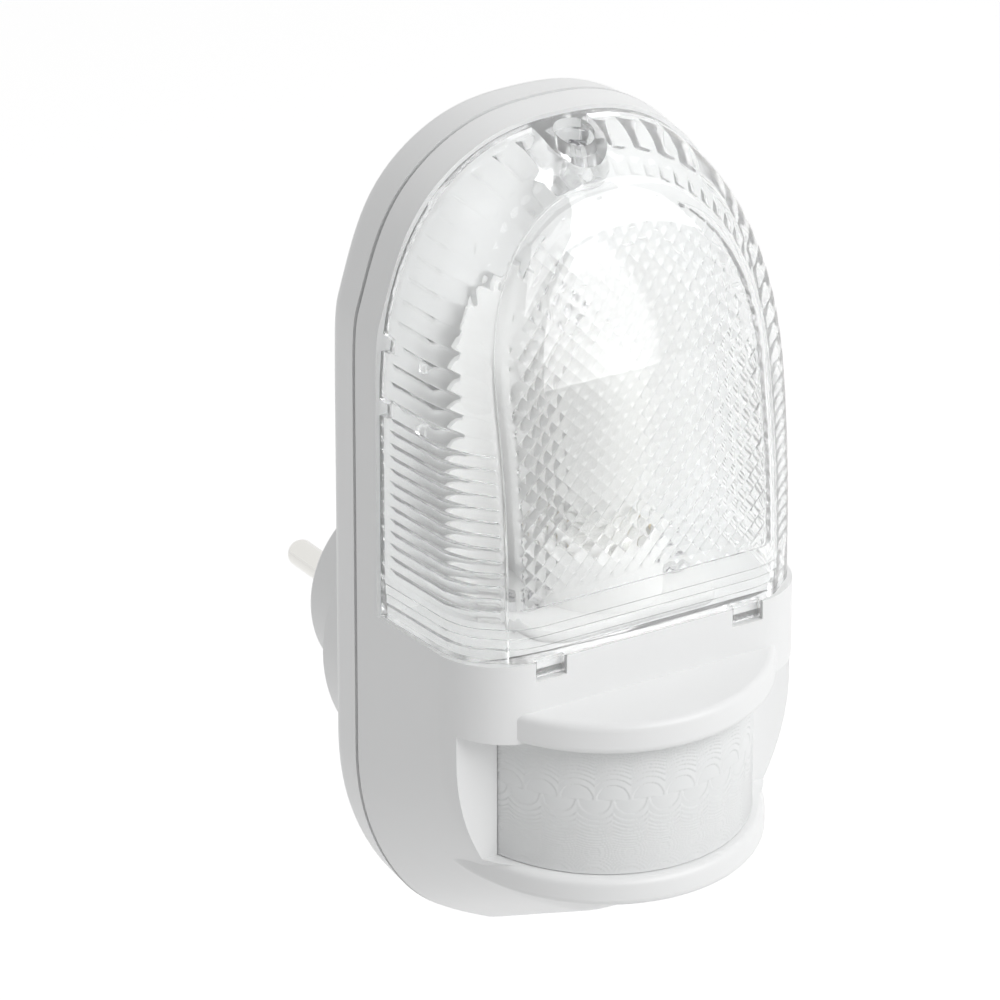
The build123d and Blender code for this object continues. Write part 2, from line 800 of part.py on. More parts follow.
def sensor_can():
    eye_f = sensor_face_f + sensor_can_height
    with BuildPart() as can:
        rod_f([(0, sensor_board_z)], sensor_can_flange, sensor_face_f, sensor_face_f + sensor_can_flange_thickness)
        rod_f([(0, sensor_board_z)], sensor_can_diameter, sensor_face_f, eye_f)
        fillet(can.faces().sort_by(Axis.Y)[0].edges(), sensor_can_flange_thickness / 2)
        with BuildSketch(front(eye_f - sensor_eye_thickness)):
            with Locations((0, sensor_board_z)):
                Rectangle(sensor_eye_width, sensor_eye_height)
        extrude(amount=sensor_eye_thickness, mode=Mode.SUBTRACT)
    return can.part


def sensor_eye():
    with BuildPart() as eye:
        with BuildSketch(front(sensor_face_f + sensor_can_height - sensor_eye_thickness)):
            with Locations((0, sensor_board_z)):
                Rectangle(sensor_eye_width, sensor_eye_height)
        extrude(amount=sensor_eye_thickness)
    return eye.part


def light_cell():
    with BuildPart() as cell:
        rod_f([light_cell_place], light_cell_diameter, sensor_face_f, sensor_face_f + light_cell_height)
        fillet(cell.faces().sort_by(Axis.Y)[0].edges(), light_cell_height / 5)
    return cell.part


# ---------------------------------------------------------------- main board and its parts
def main_board():
    with BuildPart() as board:
        with BuildSketch(front(board_f)):
            with Locations((0, (board_bottom_z + board_top_z) / 2)):
                RectangleRounded(board_width, board_top_z - board_bottom_z, board_corner)
            with Locations(*board_sites):
                Circle(small_screw_diameter / 2 + fit_gap, mode=Mode.SUBTRACT)
        extrude(amount=board_thickness)
    return board.part


def on_board(x, z, height, rounding):
    """Block with rounded upright edges that stands on the front of the main board."""
    with BuildPart() as block:
        box_between(x, (board_face_f, board_face_f + height), z)
        fillet(block.edges().filter_by(Axis.Y), rounding)
    return block.part


def relay():
    x = (parts_left_x, relay_right_x)
    return on_board(x, (parts_low_z, parts_low_z + relay_length), relay_height, relay_rounding)


def film_capacitor():
    return on_board((film_left_x, film_right_x), (parts_low_z, film_top_z), film_height, film_rounding)


def electrolytic_capacitor():
    with BuildPart() as can:
        rod_f([can_place], can_diameter, board_face_f, board_face_f + can_height)
        fillet(can.faces().sort_by(Axis.Y)[0].edges(), can_rounding)
    return can.part


def fuse():
    with BuildPart() as body:
        rod_f([fuse_place], fuse_diameter, board_face_f, board_face_f + fuse_height)
        fillet(body.faces().sort_by(Axis.Y)[0].edges(), fuse_rounding)
    return body.part


def control_chip():
    """Chip body on two rows of legs."""
    x, z = chip_place
    leg_pitch = chip_length / 4
    with BuildPart() as chip:
        box_between(
            (x - chip_width / 2 + wire_diameter, x + chip_width / 2 - wire_diameter),
            (board_face_f + wire_diameter, board_face_f + chip_height),
            (z - chip_length / 2, z + chip_length / 2),
        )
        for side in (-1, 1):
            for row in range(4):
                leg_z = z + (row - 1.5) * leg_pitch
                box_between(
                    sorted((x + side * chip_width / 2, x + side * (chip_width / 2 - 2 * wire_diameter))),
                    (board_face_f, board_face_f + chip_height / 2),
                    (leg_z - wire_diameter / 2, leg_z + wire_diameter / 2),
                )
    return chip.part


def axial_parts(sites, diameter, length):
    """Small round bodies that lie along Z on the main board, on their bent wires."""
    middle_f = board_face_f + diameter / 2 + wire_diameter / 6
    with BuildPart() as parts:
        for x, z in sites:
            low_z = z - length / 2 - wire_reach
            high_z = z + length / 2 + wire_reach
            rod_z(x, middle_f, diameter, z - length / 2, z + length / 2)
            corners = [(board_face_f, low_z), (middle_f, low_z), (middle_f, high_z), (board_face_f, high_z)]
            add(lead([(x, f, corner_z) for f, corner_z in corners], wire_diameter))
    return parts.part


def resistors():
    sites = [(resistor_x + k * resistor_pitch, resistor_z) for k in range(resistor_count)]
    return axial_parts(sites, resistor_diameter, resistor_length)


def diodes():
    sites = [(diode_x + k * diode_pitch, diode_z) for k in range(diode_count)]
    return axial_parts(sites, diode_diameter, diode_length)


def terminal_block():
    low_z = block_z - block_length / 2
    with BuildPart() as block:
        box_between(
            (block_x - block_width / 2, block_x + block_width / 2),
            (board_face_f, board_face_f + block_height),
            (low_z, low_z + block_length),
        )
        for x in block_sites_x:
            rod_z(x, block_wire_f, block_hole_diameter, low_z + wall / 2, low_z + block_length, Mode.SUBTRACT)
            top_f = board_face_f + block_height
            rod_f([(x, block_z)], block_screw_diameter, block_screw_f, top_f, Mode.SUBTRACT)
    return block.part


def terminal_screws():
    sites = [(x, block_z) for x in block_sites_x]
    top_f = board_face_f + block_height - fit_gap
    with BuildPart() as screws:
        rod_f(sites, block_screw_diameter, block_screw_f, top_f)
        with BuildSketch(front(top_f)):
            with Locations(*sites):
                Rectangle(block_screw_diameter, wire_diameter)
        extrude(amount=-wire_diameter, mode=Mode.SUBTRACT)
    return screws.part


# ---------------------------------------------------------------- leads
def lead(points, diameter):
    """Round wire through (x, f, z) points, with each bend as wide as its two runs allow."""
    places = [Vector(x, -f, z) for x, f, z in points]
    runs = [b - a for a, b in zip(places, places[1:])]
    radii = []
    for before, after in zip(runs, runs[1:]):
        half_turn = before.get_angle(after) * pi / 360
        radii.append(0.45 * min(before.length, after.length) / tan(half_turn))
    with BuildPart() as wire:
        with BuildLine() as route:
            FilletPolyline(*places, radius=radii)
        with BuildSketch(Plane(origin=places[0], z_dir=runs[0])) as end:
            Circle(diameter / 2)
        sweep(end.sketch, path=route.line)
    return wire.part


def supply_lead(pin_x, turn_x, terminal_x):
    """Lead from a pin's lug through the boss and over the board's top edge to its terminal."""
    lug_f = retainer_face_f + contact_thickness
    over_z = board_top_z + lead_rise
    return lead(
        [
            (pin_x, lug_f, contact_lug_z),
            (pin_x, shoulder_f + wall, contact_lug_z),
            (turn_x, rear_inside_f - wall, (contact_lug_z + over_z) / 2 + lead_diameter),
            (terminal_x, board_f - lead_diameter, over_z),
            (terminal_x, block_wire_f, over_z),
            (terminal_x, block_wire_f, block_z - block_length / 2 + wall / 2 + fit_gap),
        ],
        lead_diameter,
    )


def lamp_lead(x):
    """Lead from the underside of the lamp holder back to the main board."""
    return lead(
        [(x, lamp_f, holder_bottom_z), (x, lamp_f, lamp_lead_z), (x, board_face_f, lamp_lead_z)],
        lead_diameter,
    )


def switch_leads():
    back_x = switch_pad_x - switch_body_depth
    board_x = board_width / 2 - board_edge_gap
    with BuildPart() as leads:
        for row in (-1, 0, 1):
            z = switch_z + row * switch_travel
            corners = [(back_x, switch_f, z), (board_x, switch_f, z), (board_x, board_face_f, z)]
            add(lead(corners, switch_lead_diameter))
    return leads.part


# ---------------------------------------------------------------- lamp
def reflector():
    middle_z = (reflector_bottom_z + reflector_top_z) / 2
    height = reflector_top_z - reflector_bottom_z
    with BuildPart() as tray:
        with BuildSketch(Plane.XY.offset(reflector_bottom_z)):
            with Locations((0, -(seat_f + reflector_radius))):
                Circle(reflector_radius)
                Circle(reflector_radius - reflector_thickness, mode=Mode.SUBTRACT)
            with Locations((0, -(seat_f + reflector_depth / 2))):
                Rectangle(2 * reflector_half_width, reflector_depth, mode=Mode.INTERSECT)
        extrude(amount=height)
        with BuildSketch(front(seat_f)):
            with Locations((0, middle_z)):
                RectangleRounded(2 * reflector_half_width, height, reflector_corner)
        extrude(amount=reflector_depth, mode=Mode.INTERSECT)
        rod_f(reflector_screw_sites, reflector_pad_diameter, seat_f, reflector_pad_f)
        rod_f(reflector_screw_sites, small_screw_diameter + 2 * fit_gap, seat_f, reflector_pad_f, Mode.SUBTRACT)
    return tray.part


def lamp_holder():
    """White holder with a flange on the shelf, its socket bored from the top."""
    with BuildPart() as holder:
        rod_z(0, lamp_f, holder_diameter, holder_bottom_z, holder_top_z)
        fillet(holder.edges().group_by(Axis.Z)[-1], holder_rounding)
        with BuildSketch(Plane.XY.offset(shelf_z)) as flange:
            with Locations((0, -lamp_f)):
                RectangleRounded(holder_flange_width, holder_flange_depth, holder_flange_corner)
            with Locations(*[(x, -lamp_f) for x in holder_screw_sites]):
                Circle(holder_screw_diameter / 2 + fit_gap, mode=Mode.SUBTRACT)
        extrude(flange.sketch, amount=holder_flange_thickness)
        bore = 2 * (sleeve_radius + sleeve_wall + fit_gap / 3)
        rod_z(0, lamp_f, bore, holder_inside_z, holder_top_z, Mode.SUBTRACT)
        for x in (-lamp_lead_x, lamp_lead_x):
            rod_z(x, lamp_f, lead_diameter / 2, holder_bottom_z, holder_inside_z, Mode.SUBTRACT)
    return holder.part


def holder_screws():
    seat_z = shelf_z + holder_flange_thickness
    top_z = seat_z + holder_screw_head_height
    with BuildPart() as screws:
        for x in holder_screw_sites:
            rod_z(x, lamp_f, holder_screw_head, seat_z, top_z)
            rod_z(x, lamp_f, holder_screw_diameter, top_z - holder_screw_length, seat_z)
        with BuildSketch(Plane.XY.offset(top_z)) as cross:
            with Locations(*[(x, -lamp_f) for x in holder_screw_sites]):
                Rectangle(holder_screw_head * cross_reach, holder_screw_head * cross_width)
                Rectangle(holder_screw_head * cross_width, holder_screw_head * cross_reach)
        extrude(cross.sketch, amount=-holder_screw_head_height * cross_depth, mode=Mode.SUBTRACT)
    return screws.part


def holder_sleeve():
    """Brass sleeve in the holder that carries the cap."""
    outer = sleeve_radius + sleeve_wall
    with BuildPart() as sleeve:
        rod_z(0, lamp_f, 2 * outer, holder_inside_z, holder_inside_z + sleeve_length)
        rod_z(0, lamp_f, 2 * sleeve_radius, holder_inside_z, holder_inside_z + sleeve_length, Mode.SUBTRACT)
    return sleeve.part


def holder_contact():
    """Sprung brass strip on the holder's floor that presses on the tip of the bulb."""
    half = contact_strip_length / 2
    top_z = holder_inside_z + contact_strip_rise
    with BuildPart() as strip:
        with BuildSketch(front(lamp_f - contact_strip_width / 2)):
            with BuildLine():
                Polyline(
                    (-half, holder_inside_z),
                    (-half * 0.55, holder_inside_z),
                    (-half * 0.25, top_z),
                    (half * 0.25, top_z),
                    (half * 0.55, holder_inside_z),
                    (half, holder_inside_z),
                    (half, holder_inside_z + contact_strip_thickness),
                    (half * 0.6, holder_inside_z + contact_strip_thickness),
                    (half * 0.3, top_z + contact_strip_thickness),
                    (-half * 0.3, top_z + contact_strip_thickness),
                    (-half * 0.6, holder_inside_z + contact_strip_thickness),
                    (-half, holder_inside_z + contact_strip_thickness),
                    close=True,
                )
            make_face()
        extrude(amount=contact_strip_width)
    return strip.part


def bulb_tip():
    radius = tip_diameter / 2
    with BuildPart() as tip:
        rod_z(0, lamp_f, tip_diameter, bulb_bottom_z, insulator_z)
        fillet(tip.edges().group_by(Axis.Z)[0], min(tip_height, radius) * 0.6)
    return tip.part


def bulb_insulator():
    with BuildPart() as ring:
        turned(
            [
                (0, insulator_z),
                (insulator_bottom_diameter / 2, insulator_z),
                (cap_diameter / 2 - cap_groove - cap_wall, cap_z - cap_wall),
                (cap_diameter / 2 - cap_groove - cap_wall, cap_z),
                (0, cap_z),
            ],
            lamp_f,
        )
    return ring.part


def bulb_cap():
    """Thin cap with a rounded groove for each turn of its thread, open at both ends."""
    radius = cap_diameter / 2
    turns = int(cap_length * 0.8 / thread_pitch)
    with BuildPart() as cap:
        rod_z(0, lamp_f, cap_diameter, cap_z, cap_top_z)
        for turn in range(turns):
            groove_z = cap_z + (turn + 0.75) * thread_pitch
            turned(
                [
                    (radius - cap_groove, groove_z),
                    (radius + cap_wall, groove_z - thread_pitch / 3),
                    (radius + cap_wall, groove_z + thread_pitch / 3),
                ],
                lamp_f,
                mode=Mode.SUBTRACT,
            )
        rod_z(0, lamp_f, cap_diameter - 2 * (cap_groove + cap_wall), cap_z, cap_top_z, Mode.SUBTRACT)
    return cap.part


def glass_form(inset):
    """Outline of the bulb's glass, drawn in by inset and turned about the lamp axis."""
    radius = bulb_diameter / 2 - inset
    neck = bulb_neck_diameter / 2 - inset
    shoulder_z = cap_top_z + bulb_neck_length
    dome_z = bulb_top_z - bulb_diameter / 2
    with BuildPart() as form:
        with BuildSketch(front(lamp_f)):
            with BuildLine():
                floor = Line((0, cap_top_z), (neck, cap_top_z))
                throat = Line(floor @ 1, (neck, cap_top_z + bulb_neck_length / 4))
                flare = Spline(throat @ 1, (radius, shoulder_z), tangents=((0, 1), (0, 1)))
                side = Line(flare @ 1, (radius, dome_z))
                dome = RadiusArc(side @ 1, (0, dome_z + radius), -radius)
                Line(dome @ 1, (0, cap_top_z))
            make_face()
        revolve(axis=Axis((0, -lamp_f, 0), (0, 0, 1)))
    return form.part


def bulb_glass():
    with BuildPart() as glass:
        add(glass_form(0))
        add(glass_form(bulb_wall), mode=Mode.SUBTRACT)
    return glass.part


def bulb_stem():
    """Glass foot that closes the bulb and carries the filament."""
    neck = bulb_neck_diameter / 2 - bulb_wall - fit_gap
    with BuildPart() as stem:
        turned(
            [
                (0, cap_top_z),
                (neck, cap_top_z),
                (neck, cap_top_z + bulb_wall),
                (stem_diameter / 2, cap_top_z + bulb_neck_length / 2),
                (stem_diameter / 2, stem_top_z - bulb_wall),
                (stem_diameter / 2 - bulb_wall, stem_top_z),
                (0, stem_top_z),
            ],
            lamp_f,
        )
    return stem.part


def bulb_filament():
    """Filament and its two lead-in wires as one fine wire that rises from the stem's top."""
    foot = stem_diameter / 2 - bulb_wall - filament_diameter / 2 - fit_gap
    half = filament_width / 2
    return lead(
        [
            (-foot, lamp_f, stem_top_z),
            (-foot, lamp_f, stem_top_z + filament_height / 4),
            (-half, lamp_f, stem_top_z + filament_height * 0.7),
            (0, lamp_f, stem_top_z + filament_height),
            (half, lamp_f, stem_top_z + filament_height * 0.7),
            (foot, lamp_f, stem_top_z + filament_height / 4),
            (foot, lamp_f, stem_top_z),
        ],
        filament_diameter,
    )


# ---------------------------------------------------------------- mode switch
def switch_body():
    front_x = switch_pad_x
    with BuildPart() as body:
        box_between(
            (front_x - switch_body_depth, front_x),
            (switch_f - switch_body_width / 2, switch_f + switch_body_width / 2),
            (switch_z - switch_body_height / 2, switch_z + switch_body_height / 2),
        )
        box_between(
            (front_x - slider_root_depth - slider_gap, front_x),
            (switch_f - switch_slot_width / 2, switch_f + switch_slot_width / 2),
            (switch_z - switch_slot_height / 2, switch_z + switch_slot_height / 2),
            Mode.SUBTRACT,
        )
    return body.part


def mode_slider():
    """Stem through the wall's slot, with a ribbed knob in the finger recess."""
    recess_x = switch_wall_x - switch_recess_depth
    knob_x = (recess_x + slider_gap, switch_wall_x + slider_gap)
    with BuildPart() as slider:
        box_between(
            (switch_pad_x - slider_root_depth, knob_x[0]),
            (switch_f - slider_stem_width / 2, switch_f + slider_stem_width / 2),
            (switch_z - slider_stem_height / 2, switch_z + slider_stem_height / 2),
        )
        box_between(
            knob_x,
            (switch_f - slider_width / 2, switch_f + slider_width / 2),
            (switch_z - slider_height / 2, switch_z + slider_height / 2),
        )
        for row in (-1, 0, 1):
            groove_z = switch_z + row * slider_height / 4
            box_between(
                (knob_x[1] - slider_gap, knob_x[1]),
                (switch_f - slider_width, switch_f + slider_width),
                (groove_z - slider_height / 16, groove_z + slider_height / 16),
                Mode.SUBTRACT,
            )
    return slider.part


# ---------------------------------------------------------------- lens cover and its screw
def lens_block(inset, back_f, bottom_z):
    """Arched block of the cover, drawn in by inset, from back_f to its bent and rounded front panel."""
    panel_f = nose_f - inset
    radius = lens_panel_radius - inset
    with BuildPart() as block:
        body_block(back_f, panel_f, lens_margin + inset)
        with BuildSketch(Plane.YZ.offset(-2 * half_width)) as side:
            with Locations((radius - panel_f, lens_panel_bend_z)):
                Circle(radius)
            with Locations((-panel_f / 2, lens_panel_bend_z - radius / 2)):
                Rectangle(panel_f, radius)
        extrude(side.sketch, amount=4 * half_width, mode=Mode.INTERSECT)
        split(bisect_by=Plane.XY.offset(bottom_z), keep=Keep.TOP)
        brow = block.edges().filter_by_position(Axis.Y, -panel_f, -back_f, inclusive=(True, False))
        fillet(brow.filter_by(lambda edge: edge.center().Z > bottom_z + inset), lens_edge_radius - inset)
    return block.part


def lens_cover():
    skin = lens_block(0, lens_back_f, lens_bottom_z)
    hollow = lens_block(lens_wall, seat_f - wall, shelf_z - wall)
    with BuildPart() as boss:
        add(skin)
        with BuildSketch(Plane.XY.offset(screw_boss_bottom_z)) as around:
            with Locations((0, -screw_f)):
                Circle(screw_boss_diameter / 2)
            with Locations((0, -(screw_f + lens_back_f) / 2)):
                Rectangle(screw_boss_diameter, screw_f - lens_back_f)
        extrude(around.sketch, amount=crown_z, mode=Mode.INTERSECT)
    with BuildPart() as cover:
        add(skin)
        add(hollow, mode=Mode.SUBTRACT)
        add(boss.part)
        rod_z(0, screw_f, counterbore_diameter, screw_head_z, crown_z + wall, Mode.SUBTRACT)
        rod_z(0, screw_f, screw_diameter + 2 * fit_gap, screw_boss_bottom_z - 1, screw_head_z, Mode.SUBTRACT)
        for x in (-tongue_x, tongue_x):
            box_between(
                (x - tongue_width / 2, x + tongue_width / 2),
                (nose_f - lens_wall, nose_f - tongue_gap),
                (shelf_z - tongue_drop, lens_bottom_z + lens_wall),
            )
    return cover.part


def lens_screw():
    radius = screw_diameter / 2
    head = screw_head_diameter / 2
    with BuildPart() as screw:
        turned(
            [
                (0, screw_tip_z),
                (radius * 0.3, screw_tip_z),
                (radius, screw_tip_z + radius),
                (radius, screw_head_z),
                (head, screw_head_z),
                (head, screw_head_z + screw_head_height * 0.45),
                (head * 0.78, screw_head_z + screw_head_height * 0.85),
                (head * 0.4, screw_head_z + screw_head_height),
                (0, screw_head_z + screw_head_height),
            ],
            screw_f,
        )
        with BuildSketch(level(screw_head_z + screw_head_height, screw_f)):
            Rectangle(head * 1.15, radius * 0.5)
            Rectangle(radius * 0.5, head * 1.15)
        extrude(amount=-screw_head_height * 0.7, taper=8, mode=Mode.SUBTRACT)
    return screw.part


# ---------------------------------------------------------------- the pieces, one file each
def small_screws(sites, seat, length):
    """Small cross-head screws whose heads lie on the front of f = seat."""
    return screws_f(sites, seat, 1, small_screw_head, small_screw_head_height, small_screw_diameter, length)


save(rear_housing(), "rear_housing")
save(plug_pins(), "plug_pins")
save(pin_retainer(), "pin_retainer")
save(small_screws(retainer_sites, retainer_face_f, retainer_screw_length), "retainer_screws")
save(pin_contacts(), "pin_contacts")
save(supply_lead(-pin_spacing / 2, block_sites_x[0], block_sites_x[0]), "live_lead")
save(supply_lead(pin_spacing / 2, block_sites_x[1], block_sites_x[1]), "neutral_lead")
save(
    screws_f(
        case_screw_sites,
        case_head_f,
        -1,
        case_screw_head_diameter,
        case_screw_head_height,
        case_screw_diameter,
        case_screw_length,
    ),
    "case_screws",
)

save(main_board(), "main_board")
save(small_screws(board_sites, board_face_f, small_screw_length), "board_screws")
save(terminal_block(), "terminal_block")
save(terminal_screws(), "terminal_screws")
save(relay(), "relay")
save(film_capacitor(), "film_capacitor")
save(electrolytic_capacitor(), "electrolytic_capacitor")
save(control_chip(), "control_chip")
save(resistors(), "resistors")
save(diodes(), "diodes")
save(fuse(), "fuse")

save(board_header(), "board_header")
save(sensor_spacers(), "sensor_spacers")
save(sensor_board(), "sensor_board")
save(
    screws_f(
        spacer_sites,
        sensor_face_f,
        1,
        spacer_screw_head,
        spacer_screw_head_height,
        spacer_screw_diameter,
        spacer_screw_length,
    ),
    "sensor_board_screws",
)
save(sensor_can(), "sensor_can")
save(sensor_eye(), "sensor_eye")
save(light_cell(), "light_cell")
save(fresnel_lens(), "fresnel_lens")
save(fresnel_retainer(), "fresnel_retainer")

save(front_housing(), "front_housing")
save(reflector(), "reflector")
save(small_screws(reflector_screw_sites, reflector_pad_f, small_screw_length), "reflector_screws")
save(lamp_holder(), "lamp_holder")
save(holder_screws(), "holder_screws")
save(holder_sleeve(), "holder_sleeve")
save(holder_contact(), "holder_contact")
save(lamp_lead(-lamp_lead_x), "lamp_lead_live")
save(lamp_lead(lamp_lead_x), "lamp_lead_neutral")

save(bulb_tip(), "bulb_tip")
save(bulb_insulator(), "bulb_insulator")
save(bulb_cap(), "bulb_cap")
save(bulb_glass(), "bulb_glass")
save(bulb_stem(), "bulb_stem")
save(bulb_filament(), "bulb_filament")

save(lens_cover(), "lens_cover")
save(lens_screw(), "lens_screw")
save(switch_body(), "switch_body")
save(switch_leads(), "switch_leads")
save(mode_slider(), "mode_slider")
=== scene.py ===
"""Looks of the plug-in night light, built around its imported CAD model.

Sizes are in millimetres until a mesh is made. A point is (x, f, z), where f is the distance in
front of the plug's end face, so it lies at Y = -f.
"""

import json
from math import cos, pi, radians, sin

import bmesh
import bpy
import numpy as np
from mathutils import Matrix, Vector
from mathutils.geometry import delaunay_2d_cdt


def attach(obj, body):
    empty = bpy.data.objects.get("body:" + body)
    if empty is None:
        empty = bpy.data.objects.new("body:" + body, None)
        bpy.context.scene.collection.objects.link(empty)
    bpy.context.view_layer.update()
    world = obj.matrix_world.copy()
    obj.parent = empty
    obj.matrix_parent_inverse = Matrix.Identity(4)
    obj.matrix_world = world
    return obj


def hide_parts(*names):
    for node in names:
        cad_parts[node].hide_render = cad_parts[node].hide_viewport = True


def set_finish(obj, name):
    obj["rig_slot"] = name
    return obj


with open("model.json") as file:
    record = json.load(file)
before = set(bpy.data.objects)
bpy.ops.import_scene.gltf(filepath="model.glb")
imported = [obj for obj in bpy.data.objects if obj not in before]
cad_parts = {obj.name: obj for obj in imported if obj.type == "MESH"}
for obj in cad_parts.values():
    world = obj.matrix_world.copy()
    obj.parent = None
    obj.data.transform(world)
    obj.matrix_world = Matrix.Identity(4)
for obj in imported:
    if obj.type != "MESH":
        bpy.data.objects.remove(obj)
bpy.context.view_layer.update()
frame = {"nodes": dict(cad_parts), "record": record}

MM = 0.001

# ---------------------------------------------------------------- sizes shared with the solids
HALF_WIDTH = 34.3
CROWN_Z = 101.7
SPRING_Z = 58.0
FULLNESS = 2.4
SEAM_F = 42.0
NOSE_F = 76.0
NOSE_NARROWING = 2.3
NOSE_CROWN_DROP = 3.7
NOSE_SPRING_DROP = 3.0
LENS_MARGIN = 0.6
LENS_WALL = 1.8
LENS_BACK_F = 48.2
LENS_BOTTOM_Z = 21.4
LENS_ROUNDING = 12.0
PANEL_RADIUS = 173.0
PANEL_BEND_Z = 30.0
SCREW_F = 52.8
SENSOR_F = 59.7


# ---------------------------------------------------------------- meshes
MERGE_DISTANCE = 0.002


def metres(points):
    """Points (x, f, z) in millimetres as vertices in metres."""
    p = np.asarray(points, float).reshape(-1, 3)
    return np.column_stack((p[:, 0], -p[:, 1], p[:, 2])) * MM


def new_piece(name, points, faces, body=None, sharp_angle=None):
    """Closed mesh object from (x, f, z) points, which rides on a body."""
    mesh = bpy.data.meshes.new(name)
    mesh.from_pydata(metres(points).tolist(), [], faces)
    piece = bpy.data.objects.new(name, mesh)
    bpy.context.scene.collection.objects.link(piece)
    merge_doubles(piece, MERGE_DISTANCE)
    smooth(piece, sharp_angle)
    if body:
        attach(piece, body)
    return piece


def merge_doubles(piece, distance):
    """Join vertices that lie on one another and turn every face outwards."""
    work = bmesh.new()
    work.from_mesh(piece.data)
    bmesh.ops.remove_doubles(work, verts=work.verts, dist=distance * MM)
    bmesh.ops.dissolve_degenerate(work, dist=distance * MM, edges=work.edges)
    bmesh.ops.recalc_face_normals(work, faces=work.faces)
    work.to_mesh(piece.data)
    work.free()


def smooth(piece, sharp_angle=None):
    """Smooth shading, with sharp edges where two faces meet at more than sharp_angle degrees."""
    piece.data.shade_smooth()
    if sharp_angle is not None:
        piece.data.set_sharp_from_angle(angle=radians(sharp_angle))


def grid_faces(rows, columns, start=0):
    """Quads of a grid whose points lie row by row."""
    faces = []
    for r in range(rows - 1):
        for c in range(columns - 1):
            a = start + r * columns + c
            faces.append((a, a + 1, a + columns + 1, a + columns))
    return faces


def fold_into(piece, forms, operation):
    """Join closed forms (points, faces) to a closed piece, or cut them out of it."""
    points, faces = [], []
    for form_points, form_faces in forms:
        start = len(points)
        points += list(form_points)
        faces += [tuple(start + k for k in face) for face in form_faces]
    tool = new_piece("tool", points, faces)
    change = piece.modifiers.new("fold", "BOOLEAN")
    change.object = tool
    change.operation = operation
    change.solver = "MANIFOLD"
    bpy.context.view_layer.update()
    result = piece.evaluated_get(bpy.context.evaluated_depsgraph_get())
    mesh = bpy.data.meshes.new_from_object(result)
    piece.modifiers.clear()
    piece.data = mesh
    bpy.data.objects.remove(tool)


def upright(outline, low_z, high_z):
    """Closed form over an outline of (x, f) points; its top may differ from point to point."""
    n = len(outline)
    tops = np.broadcast_to(high_z, n)
    points = [(x, f, low_z) for x, f in outline]
    points += [(x, f, z) for (x, f), z in zip(outline, tops)]
    points.append(tuple(np.mean(points[n:], axis=0)))
    faces = [tuple(reversed(range(n)))]
    for k in range(n):
        after = (k + 1) % n
        faces += [(k, after, n + after, n + k), (n + k, n + after, 2 * n)]
    return points, faces


def block(x, f, z):
    """Closed box from three (low, high) ranges."""
    return upright([(x[0], f[0]), (x[1], f[0]), (x[1], f[1]), (x[0], f[1])], z[0], z[1])


def turned(profile, f, steps=48):
    """Closed form turned about an upright axis at (0, f) from a profile of (radius, z) points."""
    points = []
    for radius, z in profile:
        for k in range(steps):
            angle = 2 * pi * k / steps
            points.append((radius * cos(angle), f + radius * sin(angle), z))
    faces = [tuple(range(steps)), tuple(range(len(points) - steps, len(points)))]
    for row in range(len(profile) - 1):
        for k in range(steps):
            a, b = row * steps + k, row * steps + (k + 1) % steps
            faces.append((a, b, b + steps, a + steps))
    return points, faces


def ramp(value, low, high):
    """Smooth step from 0 at low to 1 at high."""
    t = np.clip((value - low) / (high - low), 0, 1)
    return t * t * (3 - 2 * t)


# ---------------------------------------------------------------- outline of the cover
# The panel's border has straight sides up to BORDER_SPRING_Z and a full arch above them.
BORDER_HALF = 24.5
BORDER_SPRING_Z = 62.0
BORDER_RISE = 30.8
BORDER_FULLNESS = 2.3
RIM_SPRING_Z = 63.0

# Columns of points stand along the border, and each row of points has one in every column.
COLUMN_PITCH = 0.215
ARC_SAMPLES = 3000
LEAST_STRAIGHT = 0.6

# A place and its depth depend on each other, so they are worked out in a few rounds.
SETTLING_ROUNDS = 4
FAR = 1e9
LINE_CHUNK = 64


def cover_sizes(f, inset):
    """Half width, spring and rise of the cover's outline at f, drawn in by inset."""
    share = (f - SEAM_F) / (NOSE_F - SEAM_F)
    half = HALF_WIDTH - share * NOSE_NARROWING - LENS_MARGIN - inset
    crown = CROWN_Z - share * NOSE_CROWN_DROP - LENS_MARGIN - inset
    spring = SPRING_Z - share * NOSE_SPRING_DROP
    return half, spring, crown - spring


def panel_f(z, inset=0.0):
    """Depth of the front panel at z, drawn in by inset."""
    radius = PANEL_RADIUS - inset
    lean = np.maximum(np.asarray(z, float) - PANEL_BEND_Z, 0.0)
    return NOSE_F - inset - (radius - np.sqrt(radius**2 - lean**2))


def border_arch(turn, margin=0.0):
    """Points (x, z) of the border's arch at a distance inside it, for turns from 0 to pi."""
    power = 2 / BORDER_FULLNESS
    x = (BORDER_HALF - margin) * np.sign(np.cos(turn)) * np.abs(np.cos(turn)) ** power
    return x, BORDER_SPRING_Z + (BORDER_RISE - margin) * np.abs(np.sin(turn)) ** power


def border_columns():
    """Right-hand half of the panel's border, evenly spaced from its foot to its crown.

    Gives x, z, the length along the border, and the turn round the arch, negative on the straight.
    """
    straight = BORDER_SPRING_Z - LENS_BOTTOM_Z
    turns = np.linspace(0, pi / 2, ARC_SAMPLES)
    arc_x, arc_z = border_arch(turns)
    arc = np.concatenate(([0], np.cumsum(np.hypot(np.diff(arc_x), np.diff(arc_z)))))
    total = straight + arc[-1]
    length = np.append(np.arange(int(total / COLUMN_PITCH)) * COLUMN_PITCH, total)
    turn = np.interp(np.maximum(length - straight, 0), arc, turns)
    x, z = border_arch(turn)
    x[-1] = 0.0
    z = np.where(length < straight, LENS_BOTTOM_Z + length, z)
    turn = np.where(length < straight, -1.0, turn)
    return x, z, length, turn


